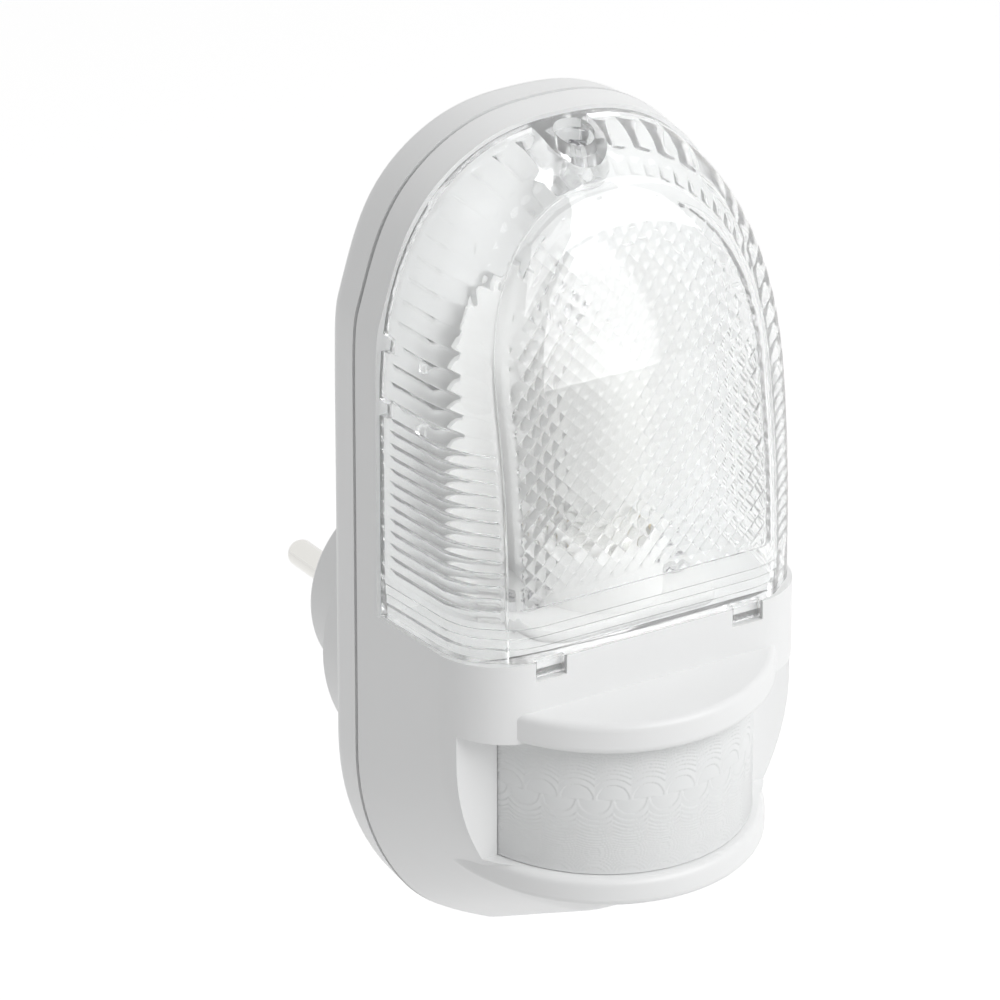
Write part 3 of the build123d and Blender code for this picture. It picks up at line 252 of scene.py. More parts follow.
def wall_points(f, inset, border):
    """Points of the cover's outline, one for each column of the border, at a depth for each."""
    _, border_z, _, turn = border
    half, spring, rise = cover_sizes(f, inset)
    stretch = (RIM_SPRING_Z - LENS_BOTTOM_Z) / (BORDER_SPRING_Z - LENS_BOTTOM_Z)
    low_z = LENS_BOTTOM_Z + (border_z - LENS_BOTTOM_Z) * stretch
    over = np.clip((low_z - spring) / rise, 0, 1)
    low_x = half * (1 - over**FULLNESS) ** (1 / FULLNESS)
    start = np.arcsin(((RIM_SPRING_Z - spring) / rise) ** (FULLNESS / 2))
    angle = start + (pi / 2 - start) * np.clip(turn, 0, pi / 2) / (pi / 2)
    high_x = half * np.clip(np.cos(angle), 0, 1) ** (2 / FULLNESS)
    high_z = spring + rise * np.sin(angle) ** (2 / FULLNESS)
    return np.where(turn < 0, low_x, high_x), np.where(turn < 0, low_z, high_z)


def nose_outline(border):
    """Where the cover's walls would meet its panel if their corner weren't rounded."""
    f = np.full(len(border[0]), NOSE_F)
    for _ in range(SETTLING_ROUNDS):
        x, z = wall_points(f, 0.0, border)
        f = panel_f(z)
    return x, z


def front_f(x, z, inset, nose):
    """Depth of the cover's front at (x, z), with its rounded edge, for a skin drawn in by inset."""
    x, z = np.abs(np.asarray(x, float)), np.asarray(z, float)
    line_x = np.concatenate((nose[0], -nose[0][::-1]))
    line_z = np.concatenate((nose[1], nose[1][::-1]))
    reach = np.full(x.shape, FAR)
    for start in range(0, len(line_x), LINE_CHUNK):
        gap_x = x[..., None] - line_x[start:start + LINE_CHUNK]
        gap_z = z[..., None] - line_z[start:start + LINE_CHUNK]
        reach = np.minimum(reach, np.hypot(gap_x, gap_z).min(axis=-1))
    radius = LENS_ROUNDING - inset
    short = np.clip(radius - (reach - inset), 0, radius)
    return panel_f(z, inset) - (radius - np.sqrt(radius**2 - short**2))


def cover_strip(inset, border, nose, back_f, wall_rows, turn_rows):
    """Right half of a skin, as rows from the rim over the rounded edge to the panel's border."""
    border_x, border_z, _, _ = border
    radius = LENS_ROUNDING - inset
    end_gap = np.hypot(nose[0] - border_x, nose[1] - border_z) - inset
    end_turn = np.arccos(np.clip(1 - end_gap / radius, -1, 1))
    border_f = front_f(border_x, border_z, inset, nose)
    rows = []
    f = np.full(len(border_x), NOSE_F - LENS_ROUNDING)
    for _ in range(SETTLING_ROUNDS):
        x, z = wall_points(f, inset, border)
        f = panel_f(z, inset) - radius
    start_f = np.maximum(f, back_f + LEAST_STRAIGHT)
    for k in range(wall_rows):
        f = back_f + (start_f - back_f) * k / wall_rows
        x, z = wall_points(f, inset, border)
        rows.append(np.column_stack((x, f, z)))
    for k in range(turn_rows):
        share = k / (turn_rows - 1)
        turn = end_turn * share
        f = start_f.copy()
        for _ in range(SETTLING_ROUNDS):
            x, z = wall_points(f, inset, border)
            run = np.hypot(border_x - x, border_z - z)
            along = np.clip(radius * (1 - np.cos(turn)) / run, 0, 1)
            x, z = x + (border_x - x) * along, z + (border_z - z) * along
            f = np.maximum(panel_f(z, inset) - radius * (1 - np.sin(turn)), start_f)
        blend = ramp(share, 0.5, 1.0)
        x, z = x + (border_x - x) * blend * share, z + (border_z - z) * blend * share
        f = f + (front_f(x, z, inset, nose) - f) * blend
        rows.append(np.column_stack((x, f, z)))
    rows[-1] = np.column_stack((border_x, border_f, border_z))
    return np.array(rows)


def both_halves(grid):
    """A right-hand grid joined to its mirror image, from the left foot over to the right."""
    left = grid.copy()
    left[..., 0] *= -1
    return np.concatenate((left, grid[:, -2::-1]), axis=1)


# ---------------------------------------------------------------- ribs inside the cover
RIB_START = 30 * COLUMN_PITCH
RIB_PITCH = 10 * COLUMN_PITCH
RIB_COUNT = 13
RIB_HEIGHT = 0.36
WIDE_RIB_PITCH = 14 * COLUMN_PITCH
WIDE_RIB_COUNT = 10
WIDE_RIB_HEIGHT = 0.3
FLUTE_PITCH = 17 * COLUMN_PITCH
FLUTE_COUNT = 4
FLUTE_GAP = 16
FLUTE_HEIGHT = 0.38
TICK_START = 36.0
TICK_PITCH = 12 * COLUMN_PITCH
TICK_COUNT = 30
TICK_HEIGHT = 0.18
TICK_REACH = 3.3
RIM_DEPTH = 1.5
BEAD_HEIGHT = 0.3
BEAD_WIDTH = 1.5
FOOT_STEPS = (23.0, 24.8, 26.6)
FOOT_STEP = 0.3
FOOT_STEP_RUN = 0.2

# How gently the ribs begin and end: distances from the rim, along the border, and from the border.
RIM_BLEND = 0.3
RIBS_SHORTEN_AT = 48.0
RIB_STOPS = (0.6, 6.5)
RIB_FADE = 0.8
FLUTE_STOP = (5.4, 6.2)
TICKS_GROW = (50.0, 60.0)
TICK_STOP = (0.4, 0.9)
TICK_FADE = 0.7
BEAD_SPREAD = 0.35

# A point inside the light, towards which the ribs are raised.
INSIDE_F = 40.0
INSIDE_Z = 50.0
TINY = 1e-6
LEAST_LENGTH = 1e-12


def bumps(length, start, pitch, count, height):
    """Heights of a row of rounded ribs along a length, which meet in sharp valleys."""
    place = (length - start) / pitch
    inside = (place >= 0) & (place < count)
    across = 2 * (place - np.floor(place + TINY)) - 1
    return np.where(inside, height * (1 - across**2), 0.0)


def foot_height(z):
    """How far the cover's stepped foot stands inwards at z."""
    return sum(FOOT_STEP * (1 - ramp(z, low, low + FOOT_STEP_RUN)) for low in FOOT_STEPS)


def rib_heights(strip, border):
    """How far each point of the inner strip is raised towards the lamp."""
    length = border[2]
    steps = np.linalg.norm(np.diff(strip, axis=0), axis=2)
    reach = np.concatenate((np.zeros((1, strip.shape[1])), np.cumsum(steps, axis=0)))
    left = reach[-1] - reach
    off_rim = ramp(reach, RIM_DEPTH - RIM_BLEND, RIM_DEPTH + RIM_BLEND)

    wide_start = RIB_START + RIB_COUNT * RIB_PITCH
    wide_end = wide_start + WIDE_RIB_COUNT * WIDE_RIB_PITCH
    ribs = bumps(length, RIB_START, RIB_PITCH, RIB_COUNT, RIB_HEIGHT)
    ribs += bumps(length, wide_start, WIDE_RIB_PITCH, WIDE_RIB_COUNT, WIDE_RIB_HEIGHT)
    stop = np.interp(length, (RIBS_SHORTEN_AT, wide_end), RIB_STOPS)
    height = ribs * off_rim * ramp(left, stop, stop + RIB_FADE)

    crown = len(length) - 1
    flute_start = (crown - FLUTE_GAP) * COLUMN_PITCH - FLUTE_COUNT * FLUTE_PITCH
    flutes = bumps(length, flute_start, FLUTE_PITCH, FLUTE_COUNT, FLUTE_HEIGHT)
    height += flutes * off_rim * ramp(left, *FLUTE_STOP)

    tick_start = np.round(TICK_START / COLUMN_PITCH) * COLUMN_PITCH
    ticks = bumps(length, tick_start, TICK_PITCH, TICK_COUNT, TICK_HEIGHT)
    ticks = ticks * ramp(length, *TICKS_GROW)
    height += ticks * ramp(left, *TICK_STOP) * (1 - ramp(left, TICK_REACH, TICK_REACH + TICK_FADE))

    bead = np.exp(-((left / BEAD_SPREAD) ** 2)) * BEAD_HEIGHT
    return height + bead + foot_height(border[1])


def inward(grid):
    """Unit normals of a grid that point to the inside of the cover."""
    down = np.gradient(grid, axis=0)
    along = np.gradient(grid, axis=1)
    normal = np.cross(down, along)
    normal /= np.linalg.norm(normal, axis=2, keepdims=True) + LEAST_LENGTH
    facing = normal[..., 0] * -grid[..., 0] + normal[..., 1] * (INSIDE_F - grid[..., 1])
    facing += normal[..., 2] * (INSIDE_Z - grid[..., 2])
    return np.where(facing[..., None] < 0, -normal, normal)


# ---------------------------------------------------------------- prismatic panel
PRISM_WIDE = 2.78
PRISM_TALL = 2.92
PRISM_HEIGHT = 0.5
PRISM_LOW_Z = 28.6
PRISM_CLEARANCE = 0.6
BEAD_FALL = 0.3
FOOT_LINE_INSET = 0.5
FOOT_LINE_POINTS = 90
SIDE_POINTS = 60
ARCH_POINTS = 240
FOOT_POINTS = 80
MESH_INSIDE_OUTLINE = 1
MESH_TOLERANCE = 1e-5


def in_panel(x, z, margin):
    """Whether (x, z) lies inside the panel's border by at least margin."""
    if z < PRISM_LOW_Z + margin:
        return False
    across = abs(x) / (BORDER_HALF - margin)
    up = max(z - BORDER_SPRING_Z, 0) / (BORDER_RISE - margin)
    return across**BORDER_FULLNESS + up**BORDER_FULLNESS < 1


def panel_loop(margin):
    """Closed loop at a distance inside the panel's border, with its straight foot."""
    low, half = PRISM_LOW_Z + margin, BORDER_HALF - margin
    side = np.linspace(low, BORDER_SPRING_Z, SIDE_POINTS)
    arch_x, arch_z = border_arch(np.linspace(0, pi, ARCH_POINTS)[1:-1], margin)
    loop = [(half, z) for z in side]
    loop += list(zip(arch_x, arch_z))
    loop += [(-half, z) for z in reversed(side)]
    loop += [(x, low) for x in np.linspace(-half, half, FOOT_POINTS)[1:-1]]
    return loop


def prism_corners():
    """Corners of the pyramids, by column and row: each one's (x, z) and whether it is a tip."""
    corners = {}
    columns = int(BORDER_HALF / PRISM_WIDE * 2) + 2
    rows = int((BORDER_SPRING_Z + BORDER_RISE - PRISM_LOW_Z) / PRISM_TALL * 2) + 2
    for row in range(rows):
        for column in range(-columns, columns + 1):
            x, z = column * PRISM_WIDE / 2, PRISM_LOW_Z + row * PRISM_TALL / 2
            if in_panel(x, z, BEAD_WIDTH + PRISM_CLEARANCE):
                corners[column, row] = (x, z), (column + row) % 2 == 1
    return corners


def panel_lines():
    """Lines the panel's mesh keeps: each one's (x, z) points, height, and whether it closes."""
    reach = BORDER_HALF - FOOT_LINE_INSET
    lines = []
    for step in FOOT_STEPS:
        for z in (step, step + FOOT_STEP_RUN):
            line = [(x, z) for x in np.linspace(-reach, reach, FOOT_LINE_POINTS)]
            lines.append((line, BEAD_HEIGHT + foot_height(z), False))
    lines.append((panel_loop(BEAD_WIDTH), BEAD_HEIGHT, True))
    lines.append((panel_loop(BEAD_WIDTH + BEAD_FALL), 0.0, True))
    return lines


def prism_panel(rim, nose):
    """Inner face of the panel inside its rim of (x, z) points: a stepped foot and small pyramids.

    Gives points (x, f, z), triangles, and where each rim point went.
    """
    flat = [Vector(p) for p in rim]
    raised = [BEAD_HEIGHT + foot_height(p[1]) for p in rim]
    edges = []
    for line, height, closed in panel_lines():
        first, count = len(flat), len(line)
        flat += [Vector(p) for p in line]
        raised += [height] * count
        links = count if closed else count - 1
        edges += [(first + k, first + (k + 1) % count) for k in range(links)]

    index = {}
    corners = prism_corners()
    for place, (corner, is_tip) in corners.items():
        index[place] = len(flat)
        flat.append(Vector(corner))
        raised.append(PRISM_HEIGHT if is_tip else 0.0)
    for (column, row), (_, is_tip) in corners.items():
        for above in ((column - 1, row + 1), (column + 1, row + 1)):
            if not is_tip and above in corners:
                edges.append((index[column, row], index[above]))

    out, _, triangles, origin, _, _ = delaunay_2d_cdt(
        flat, edges, [list(range(len(rim)))], MESH_INSIDE_OUTLINE, MESH_TOLERANCE
    )
    points = np.array([(p.x, 0.0, p.y) for p in out])
    heights = np.array([max((raised[k] for k in source), default=0.0) for source in origin])
    points[:, 1] = front_f(points[:, 0], points[:, 2], LENS_WALL, nose) - heights
    went = {k: place for place, source in enumerate(origin) for k in source}
    return points, triangles, [went[k] for k in range(len(rim))]


# ---------------------------------------------------------------- clear cover
NOTCHES = ((55.6, 58.2), (66.0, 68.2))
NOTCH_DEPTH = 2.2
OUTER_ROWS = (5, 12)
INNER_ROWS = (22, 34)
FRONT_ROWS = 15
SPINE_RISE = 20.0
BOSS_RADIUS = 5.0
BOSS_LOW_Z = 90.4
BOSS_TOP = ((LENS_BACK_F, 98.9), (SCREW_F, 98.5), (SCREW_F + BOSS_RADIUS, 95.1))
BOSS_POINTS = 33
SCREW_SEAT_Z = 95.6
SCREW_HOLE_RADIUS = 1.35
SCREW_RECESS_RADIUS = 3.3
RECESS_LOW_Z = 80.0
RECESS_HIGH_Z = 106.0
HOOK_X = (29.4, 31.3)
HOOK_F = (56.8, 58.1)
HOOK_ABOVE_NOTCH = (0.7, 2.0)
TONGUE_X = 18.6
TONGUE_WIDTH = 5.2
TONGUE_F = (74.2, 75.7)
TONGUE_Z = (18.6, 23.2)
FINE_MERGE_DISTANCE = 0.001
COVER_SHARP_ANGLE = 42


def rim_depths(border_z):
    """Depth of the cover's rim at each column, which lies further forward in the notches."""
    notch = np.zeros(len(border_z))
    for low_z, high_z in NOTCHES:
        inside = (border_z > low_z) & (border_z < high_z)
        notch = np.maximum(notch, np.where(inside, NOTCH_DEPTH, 0.0))
    return LENS_BACK_F + notch


def outer_skin(border, nose, back_f):
    """Smooth outside of the cover, from its rim to a line up its middle."""
    border_x, border_z, _, turn = border
    arch_z = BORDER_SPRING_Z + SPINE_RISE * np.sin(np.clip(turn, 0, pi / 2))
    spine_z = np.where(turn < 0, border_z, arch_z)
    front = []
    for share in np.linspace(0, 1, FRONT_ROWS)[1:]:
        x = border_x * (1 - share)
        z = border_z + (spine_z - border_z) * share
        front.append(np.column_stack((x, front_f(x, z, 0.0, nose), z)))
    skin = np.concatenate((cover_strip(0.0, border, nose, back_f, *OUTER_ROWS), np.array(front)))
    skin[:, 0, 2] = LENS_BOTTOM_Z
    return both_halves(skin)


def inner_skin(border, nose, back_f):
    """Ribbed inside of the cover, from its rim to the border of its panel."""
    strip = cover_strip(LENS_WALL, border, nose, back_f, *INNER_ROWS)
    heights = rib_heights(strip, border)
    skin = strip + inward(strip) * heights[..., None]
    skin[0, :, 1] = back_f
    skin[-1] = strip[-1]
    skin[-1, :, 1] -= heights[-1]
    skin[:, 0, 2] = LENS_BOTTOM_Z
    return both_halves(skin)


def cover_skins():
    """Closed mesh of the cover: its two skins, its panel's inner face, its rim and its foot."""
    border = border_columns()
    nose = nose_outline(border)
    back_f = rim_depths(border[1])
    outer, inner = outer_skin(border, nose, back_f), inner_skin(border, nose, back_f)
    (outer_rows, columns), inner_rows = outer.shape[:2], inner.shape[0]
    foot_x = np.linspace(BORDER_HALF, -BORDER_HALF, FOOT_POINTS)[1:-1]
    rim = [(p[0], p[2]) for p in inner[-1]] + [(x, LENS_BOTTOM_Z) for x in foot_x]
    panel, triangles, went = prism_panel(rim, nose)

    points = [*outer.reshape(-1, 3), *inner.reshape(-1, 3), *panel]
    start = outer_rows * columns
    base = start + inner_rows * columns
    names = {place: base + place for place in range(len(panel))}
    for k in range(columns):
        names[went[k]] = base - columns + k

    faces = grid_faces(outer_rows, columns)
    faces += [tuple(reversed(face)) for face in grid_faces(inner_rows, columns, start)]
    faces += [tuple(names[k] for k in face) for face in triangles]
    faces += [(k, k + 1, start + k + 1, start + k) for k in range(columns - 1)]
    outer_foot = [r * columns for r in range(outer_rows)]
    outer_foot += [(r + 1) * columns - 1 for r in reversed(range(outer_rows - 1))]
    inner_foot = [start + r * columns for r in range(inner_rows)]
    inner_foot += [names[went[k]] for k in reversed(range(columns, len(rim)))]
    inner_foot += [start + (r + 1) * columns - 1 for r in reversed(range(inner_rows))]
    faces.append(tuple(outer_foot + inner_foot[::-1]))
    return points, faces


def screw_boss():
    """Block and half round under the crown that the cover's screw goes through."""
    outline = [(-BOSS_RADIUS, LENS_BACK_F)]
    for turn in np.linspace(0, pi, BOSS_POINTS):
        outline.append((-BOSS_RADIUS * cos(turn), SCREW_F + BOSS_RADIUS * sin(turn)))
    outline.append((BOSS_RADIUS, LENS_BACK_F))
    tops = np.interp([f for _, f in outline], *zip(*BOSS_TOP))
    return upright(outline[::-1], BOSS_LOW_Z, tops[::-1])


def hooks_and_tongues():
    """Small hooks in front of the rim's notches and two tongues under the foot."""
    forms = []
    for side in (-1, 1):
        for low_z, _ in NOTCHES:
            z = [low_z + above for above in HOOK_ABOVE_NOTCH]
            forms.append(block(sorted(side * x for x in HOOK_X), HOOK_F, z))
        x = (side * TONGUE_X - TONGUE_WIDTH / 2, side * TONGUE_X + TONGUE_WIDTH / 2)
        forms.append(block(x, TONGUE_F, TONGUE_Z))
    return forms


def screw_recess():
    """Through hole for the cover's screw, with the wider recess for its head above the seat."""
    profile = [
        (SCREW_HOLE_RADIUS, RECESS_LOW_Z),
        (SCREW_HOLE_RADIUS, SCREW_SEAT_Z),
        (SCREW_RECESS_RADIUS, SCREW_SEAT_Z),
        (SCREW_RECESS_RADIUS, RECESS_HIGH_Z),
    ]
    return turned(profile, SCREW_F)


def clear_cover():
    """Clear cover with its screw boss, hooks and tongues, in place of the plain CAD one."""
    points, faces = cover_skins()
    cover = new_piece("clear_cover", points, faces, "cover")
    fold_into(cover, [screw_boss()] + hooks_and_tongues(), "UNION")
    fold_into(cover, [screw_recess()], "DIFFERENCE")
    merge_doubles(cover, FINE_MERGE_DISTANCE)
    smooth(cover, COVER_SHARP_ANGLE)
    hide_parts("lens_cover")
    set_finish(cover, "lens_clear")
    return cover


cover = clear_cover()


# ---------------------------------------------------------------- moulded sensor window
WINDOW_RADIUS = 25.7
WINDOW_THICKNESS = 1.0
WINDOW_TURN = 76.6
WINDOW_LOW_Z = -14.45
WINDOW_HIGH_Z = 8.45
SENSOR_TILT = 4.0
ROWS_MEET_Z = -1.2
FACET_TURN = 13.0
FIRST_RING = 2.65
RING_DEPTH = 0.12
PLAIN_EDGE = 0.5
WINDOW_COLUMNS = 461
WINDOW_ROWS = 185
WINDOW_SHARP_ANGLE = 60


def ring_relief(turn, z):
    """Depth of the stepped rings that are moulded in the window."""
    upper = z > ROWS_MEET_Z
    offset = np.where(upper, 0.0, FACET_TURN / 2)
    middle = np.round((turn - offset) / FACET_TURN) * FACET_TURN + offset
    across = np.radians(turn - middle) * WINDOW_RADIUS
    share = (across**2 + (z - ROWS_MEET_Z) ** 2) / FIRST_RING**2
    return RING_DEPTH * (share - np.floor(share))


def window_points(turns, levels, depth):
    """Points of the window on a grid of turns and levels, at a depth under its face."""
    radius = WINDOW_RADIUS - depth
    x, ahead = radius * np.sin(np.radians(turns)), radius * np.cos(np.radians(turns))
    z = levels - np.tan(radians(SENSOR_TILT)) * ahead
    return np.stack((x, SENSOR_F + ahead, z), axis=-1).reshape(-1, 3)


def sensor_window():
    """Bent window whose two rows of facets carry stepped rings, in place of the plain CAD one."""
    side_turns = np.linspace(-WINDOW_TURN, WINDOW_TURN, WINDOW_COLUMNS)
    heights = np.linspace(WINDOW_LOW_Z, WINDOW_HIGH_Z, WINDOW_ROWS)
    turns, levels = np.meshgrid(side_turns, heights)
    relief = ring_relief(turns, levels) * ramp(levels, WINDOW_LOW_Z, WINDOW_LOW_Z + PLAIN_EDGE)
    front = window_points(turns, levels, relief)
    back = window_points(*np.meshgrid(side_turns, heights[[0, -1]]), WINDOW_THICKNESS)

    rows, columns = WINDOW_ROWS, WINDOW_COLUMNS
    inner = rows * columns
    faces = grid_faces(rows, columns) + grid_faces(2, columns, inner)
    top, inner_top = inner - columns, inner + columns
    for c in range(columns - 1):
        faces.append((c, c + 1, inner + c + 1, inner + c))
        faces.append((top + c, top + c + 1, inner_top + c + 1, inner_top + c))
    for c in (0, columns - 1):
        side = [r * columns + c for r in range(rows)]
        faces.append(tuple(side + [inner_top + c, inner + c]))
    points = np.concatenate((front, back))
    window = new_piece("sensor_window", points, faces, "housing", WINDOW_SHARP_ANGLE)
    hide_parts("fresnel_lens")
    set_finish(window, "sensor_window")
    return window


window = sensor_window()


# ---------------------------------------------------------------- shared effects
RUB_NOISE_SCALE = 900.0
RUB_NOISE_DETAIL = 3.0
RUB_GAIN = 8.0
GRAIN_DETAIL = 4.0
GRAIN_ROUGHNESS = 0.6
GRAIN_STRENGTH = 0.6
DRIFT_DETAIL = 3.0


def effect_group(name, inputs, outputs):
    """Empty shader node group with float, colour or vector sockets."""
    group = bpy.data.node_groups.new(name, "ShaderNodeTree")
    for label, kind, value in inputs:
        socket = group.interface.new_socket(label, in_out="INPUT", socket_type="NodeSocket" + kind)
        if value is not None:
            socket.default_value = value
    for label, kind in outputs:
        group.interface.new_socket(label, in_out="OUTPUT", socket_type="NodeSocket" + kind)
    return group, group.nodes.new("NodeGroupInput"), group.nodes.new("NodeGroupOutput")


def math_node(tree, operation, *values):
    """Math node whose inputs are numbers or sockets; gives its output."""
    node = tree.nodes.new("ShaderNodeMath")
    node.operation = operation
    for slot, value in zip(node.inputs, values):
        if isinstance(value, (int, float)):
            slot.default_value = value
        else:
            tree.links.new(value, slot)
    return node.outputs[0]


def noise(tree, scale, detail, roughness=0.5):
    """Noise over the object's own coordinates."""
    place = tree.nodes.new("ShaderNodeTexCoord")
    node = tree.nodes.new("ShaderNodeTexNoise")
    if isinstance(scale, (int, float)):
        node.inputs["Scale"].default_value = scale
    else:
        tree.links.new(scale, node.inputs["Scale"])
    node.inputs["Detail"].default_value = detail
    node.inputs["Roughness"].default_value = roughness
    tree.links.new(place.outputs["Object"], node.inputs["Vector"])
    return node.outputs["Fac"]


def edge_rub_group():
    """Mask that is 1 on rubbed edges and falls off over Width, broken up by noise."""
    group, given, result = effect_group(
        "edge rub", [("Width", "Float", 0.0004), ("Amount", "Float", 0.5)], [("Mask", "Float")]
    )
    bevel = group.nodes.new("ShaderNodeBevel")
    group.links.new(given.outputs["Width"], bevel.inputs["Radius"])
    form = group.nodes.new("ShaderNodeNewGeometry")
    dot = group.nodes.new("ShaderNodeVectorMath")
    dot.operation = "DOT_PRODUCT"
    group.links.new(bevel.outputs["Normal"], dot.inputs[0])
    group.links.new(form.outputs["Normal"], dot.inputs[1])
    bent_away = math_node(group, "SUBTRACT", 1.0, dot.outputs["Value"])
    patches = noise(group, RUB_NOISE_SCALE, RUB_NOISE_DETAIL)
    patchy = math_node(group, "MULTIPLY", bent_away, patches)
    strong = math_node(group, "MULTIPLY", patchy, RUB_GAIN)
    held = math_node(group, "MINIMUM", strong, 1.0)
    mask = math_node(group, "MULTIPLY", held, given.outputs["Amount"])
    group.links.new(mask, result.inputs["Mask"])
    return group


def grain_group():
    """Fine moulding grain: a value and a bumped normal."""
    group, given, result = effect_group(
        "fine grain",
        [("Scale", "Float", 3000.0), ("Height", "Float", 0.00001)],
        [("Value", "Float"), ("Normal", "Vector")],
    )
    value = noise(group, given.outputs["Scale"], GRAIN_DETAIL, GRAIN_ROUGHNESS)
    bump = group.nodes.new("ShaderNodeBump")
    bump.inputs["Strength"].default_value = GRAIN_STRENGTH
    group.links.new(given.outputs["Height"], bump.inputs["Distance"])
    group.links.new(value, bump.inputs["Height"])
    group.links.new(value, result.inputs["Value"])
    group.links.new(bump.outputs["Normal"], result.inputs["Normal"])
    return group


def tone_group():
    """Slow, faint drift of a colour over the surface, and darker rubbed edges."""
    group, given, result = effect_group(
        "tone drift",
        [
            ("Color", "Color", None),
            ("Worn Color", "Color", None),
            ("Drift", "Float", 0.04),
            ("Scale", "Float", 60.0),
            ("Mask", "Float", 0.0),
        ],
        [("Color", "Color")],
    )
    level = noise(group, given.outputs["Scale"], DRIFT_DETAIL)
    level = math_node(group, "SUBTRACT", level, 0.5)
    gain = math_node(group, "MULTIPLY_ADD", level, given.outputs["Drift"], 1.0)
    scaled = group.nodes.new("ShaderNodeVectorMath")
    scaled.operation = "SCALE"
    group.links.new(given.outputs["Color"], scaled.inputs[0])
    group.links.new(gain, scaled.inputs["Scale"])
    mix = group.nodes.new("ShaderNodeMix")
    mix.data_type = "RGBA"
    group.links.new(given.outputs["Mask"], mix.inputs["Factor"])
    group.links.new(scaled.outputs["Vector"], mix.inputs["A"])
    group.links.new(given.outputs["Worn Color"], mix.inputs["B"])
    group.links.new(mix.outputs["Result"], result.inputs["Color"])
    return group


EDGE_RUB = edge_rub_group()
FINE_GRAIN = grain_group()
TONE_DRIFT = tone_group()


# ---------------------------------------------------------------- materials
PLASTIC_IOR = 1.5
SCATTER_DISTANCE = 0.003
CLEAR_TRANSMISSION = 0.88
CLEAR_SHADE = (0.7, 0.705, 0.705, 1)
CLEAR_ROUGHNESS = 0.02
CLEAR_DRIFT = 0.01
SOLID_SHARP_ANGLE = 28


def placed(tree, group, **values):
    """A node group in a material, with plain values for its named inputs."""
    node = tree.nodes.new("ShaderNodeGroup")
    node.node_tree = group
    for label, value in values.items():
        node.inputs[label.replace("_", " ")].default_value = value
    return node


def blank_material(name):
    """New material with its node tree and its Principled shader."""
    material = bpy.data.materials.new(name)
    material.use_nodes = True
    return material, material.node_tree, material.node_tree.nodes["Principled BSDF"]


def finish(
    name,
    color,
    roughness,
    metallic=0.0,
    grain=(3000.0, 0.00001),
    drift=0.04,
    worn=None,
    rub=(0.0004, 0.3),
    spread=0.1,
    subsurface=0.0,
):
    """Opaque finish with grain, a drifting tone, rubbed edges and uneven gloss."""
    material, tree, shader = blank_material(name)
    shader.inputs["Metallic"].default_value = metallic
    shader.inputs["IOR"].default_value = PLASTIC_IOR
    shader.inputs["Subsurface Weight"].default_value = subsurface
    shader.inputs["Subsurface Radius"].default_value = (1, 1, 1)
    shader.inputs["Subsurface Scale"].default_value = SCATTER_DISTANCE
    worn = worn or color
    rubbed = placed(tree, EDGE_RUB, Width=rub[0], Amount=rub[1])
    tone = placed(tree, TONE_DRIFT, Color=(*color, 1), Worn_Color=(*worn, 1), Drift=drift)
    tree.links.new(rubbed.outputs["Mask"], tone.inputs["Mask"])
    tree.links.new(tone.outputs["Color"], shader.inputs["Base Color"])
    texture = placed(tree, FINE_GRAIN, Scale=grain[0], Height=grain[1])
    tree.links.new(texture.outputs["Normal"], shader.inputs["Normal"])
    value = texture.outputs["Value"]
    gloss = math_node(tree, "MULTIPLY_ADD", value, spread, roughness - spread / 2)
    tree.links.new(gloss, shader.inputs["Roughness"])
    return material


def clear_finish(name, color, grain):
    """Clear moulding that refracts, and lets the lamps' light through to what is behind it."""
    material, tree, shader = blank_material(name)
    shader.inputs["Transmission Weight"].default_value = CLEAR_TRANSMISSION
    shader.inputs["IOR"].default_value = PLASTIC_IOR
    shader.inputs["Metallic"].default_value = 0.0
    texture = placed(tree, FINE_GRAIN, Scale=grain[0], Height=grain[1])
    tone = placed(
        tree, TONE_DRIFT, Color=(*color, 1), Worn_Color=(*color, 1), Drift=CLEAR_DRIFT
    )
    tree.links.new(tone.outputs["Color"], shader.inputs["Base Color"])
    tree.links.new(texture.outputs["Normal"], shader.inputs["Normal"])
    value = texture.outputs["Value"]
    gloss = math_node(tree, "MULTIPLY_ADD", value, CLEAR_ROUGHNESS, CLEAR_ROUGHNESS / 2)
    tree.links.new(gloss, shader.inputs["Roughness"])
    path = tree.nodes.new("ShaderNodeLightPath")
    through = tree.nodes.new("ShaderNodeBsdfTransparent")
    through.inputs["Color"].default_value = CLEAR_SHADE
    mix = tree.nodes.new("ShaderNodeMixShader")
    out = tree.nodes["Material Output"]
    tree.links.new(path.outputs["Is Shadow Ray"], mix.inputs["Fac"])
    tree.links.new(shader.outputs["BSDF"], mix.inputs[1])
    tree.links.new(through.outputs["BSDF"], mix.inputs[2])
    tree.links.new(mix.outputs["Shader"], out.inputs["Surface"])
    return material


def plastics():
    """Finishes of the housing, the window and the moulded parts inside."""
    return {
        "housing_white": finish(
            "satin white housing", (0.86, 0.865, 0.865), 0.36, grain=(2600.0, 0.000012),
            drift=0.03, worn=(0.8, 0.8, 0.79), rub=(0.0003, 0.25),
        ),
        "inner_white": finish(
            "glossy white inner plastic", (0.88, 0.88, 0.87), 0.4, drift=0.03, subsurface=0.8
        ),
        "sensor_window": finish(
            "milky window plastic", (0.80, 0.81, 0.81), 0.32, grain=(4000.0, 0.000004), drift=0.05
        ),
        "part_black": finish(
            "moulded black plastic", (0.05, 0.05, 0.055), 0.4, worn=(0.12, 0.12, 0.12)
        ),
        "relay_grey": finish(
            "dark grey plastic", (0.2, 0.22, 0.25), 0.4, worn=(0.3, 0.3, 0.32)
        ),
        "fuse_brown": finish("brown moulding", (0.25, 0.13, 0.07), 0.4),
        "block_green": finish("green moulding", (0.13, 0.36, 0.2), 0.38),
    }


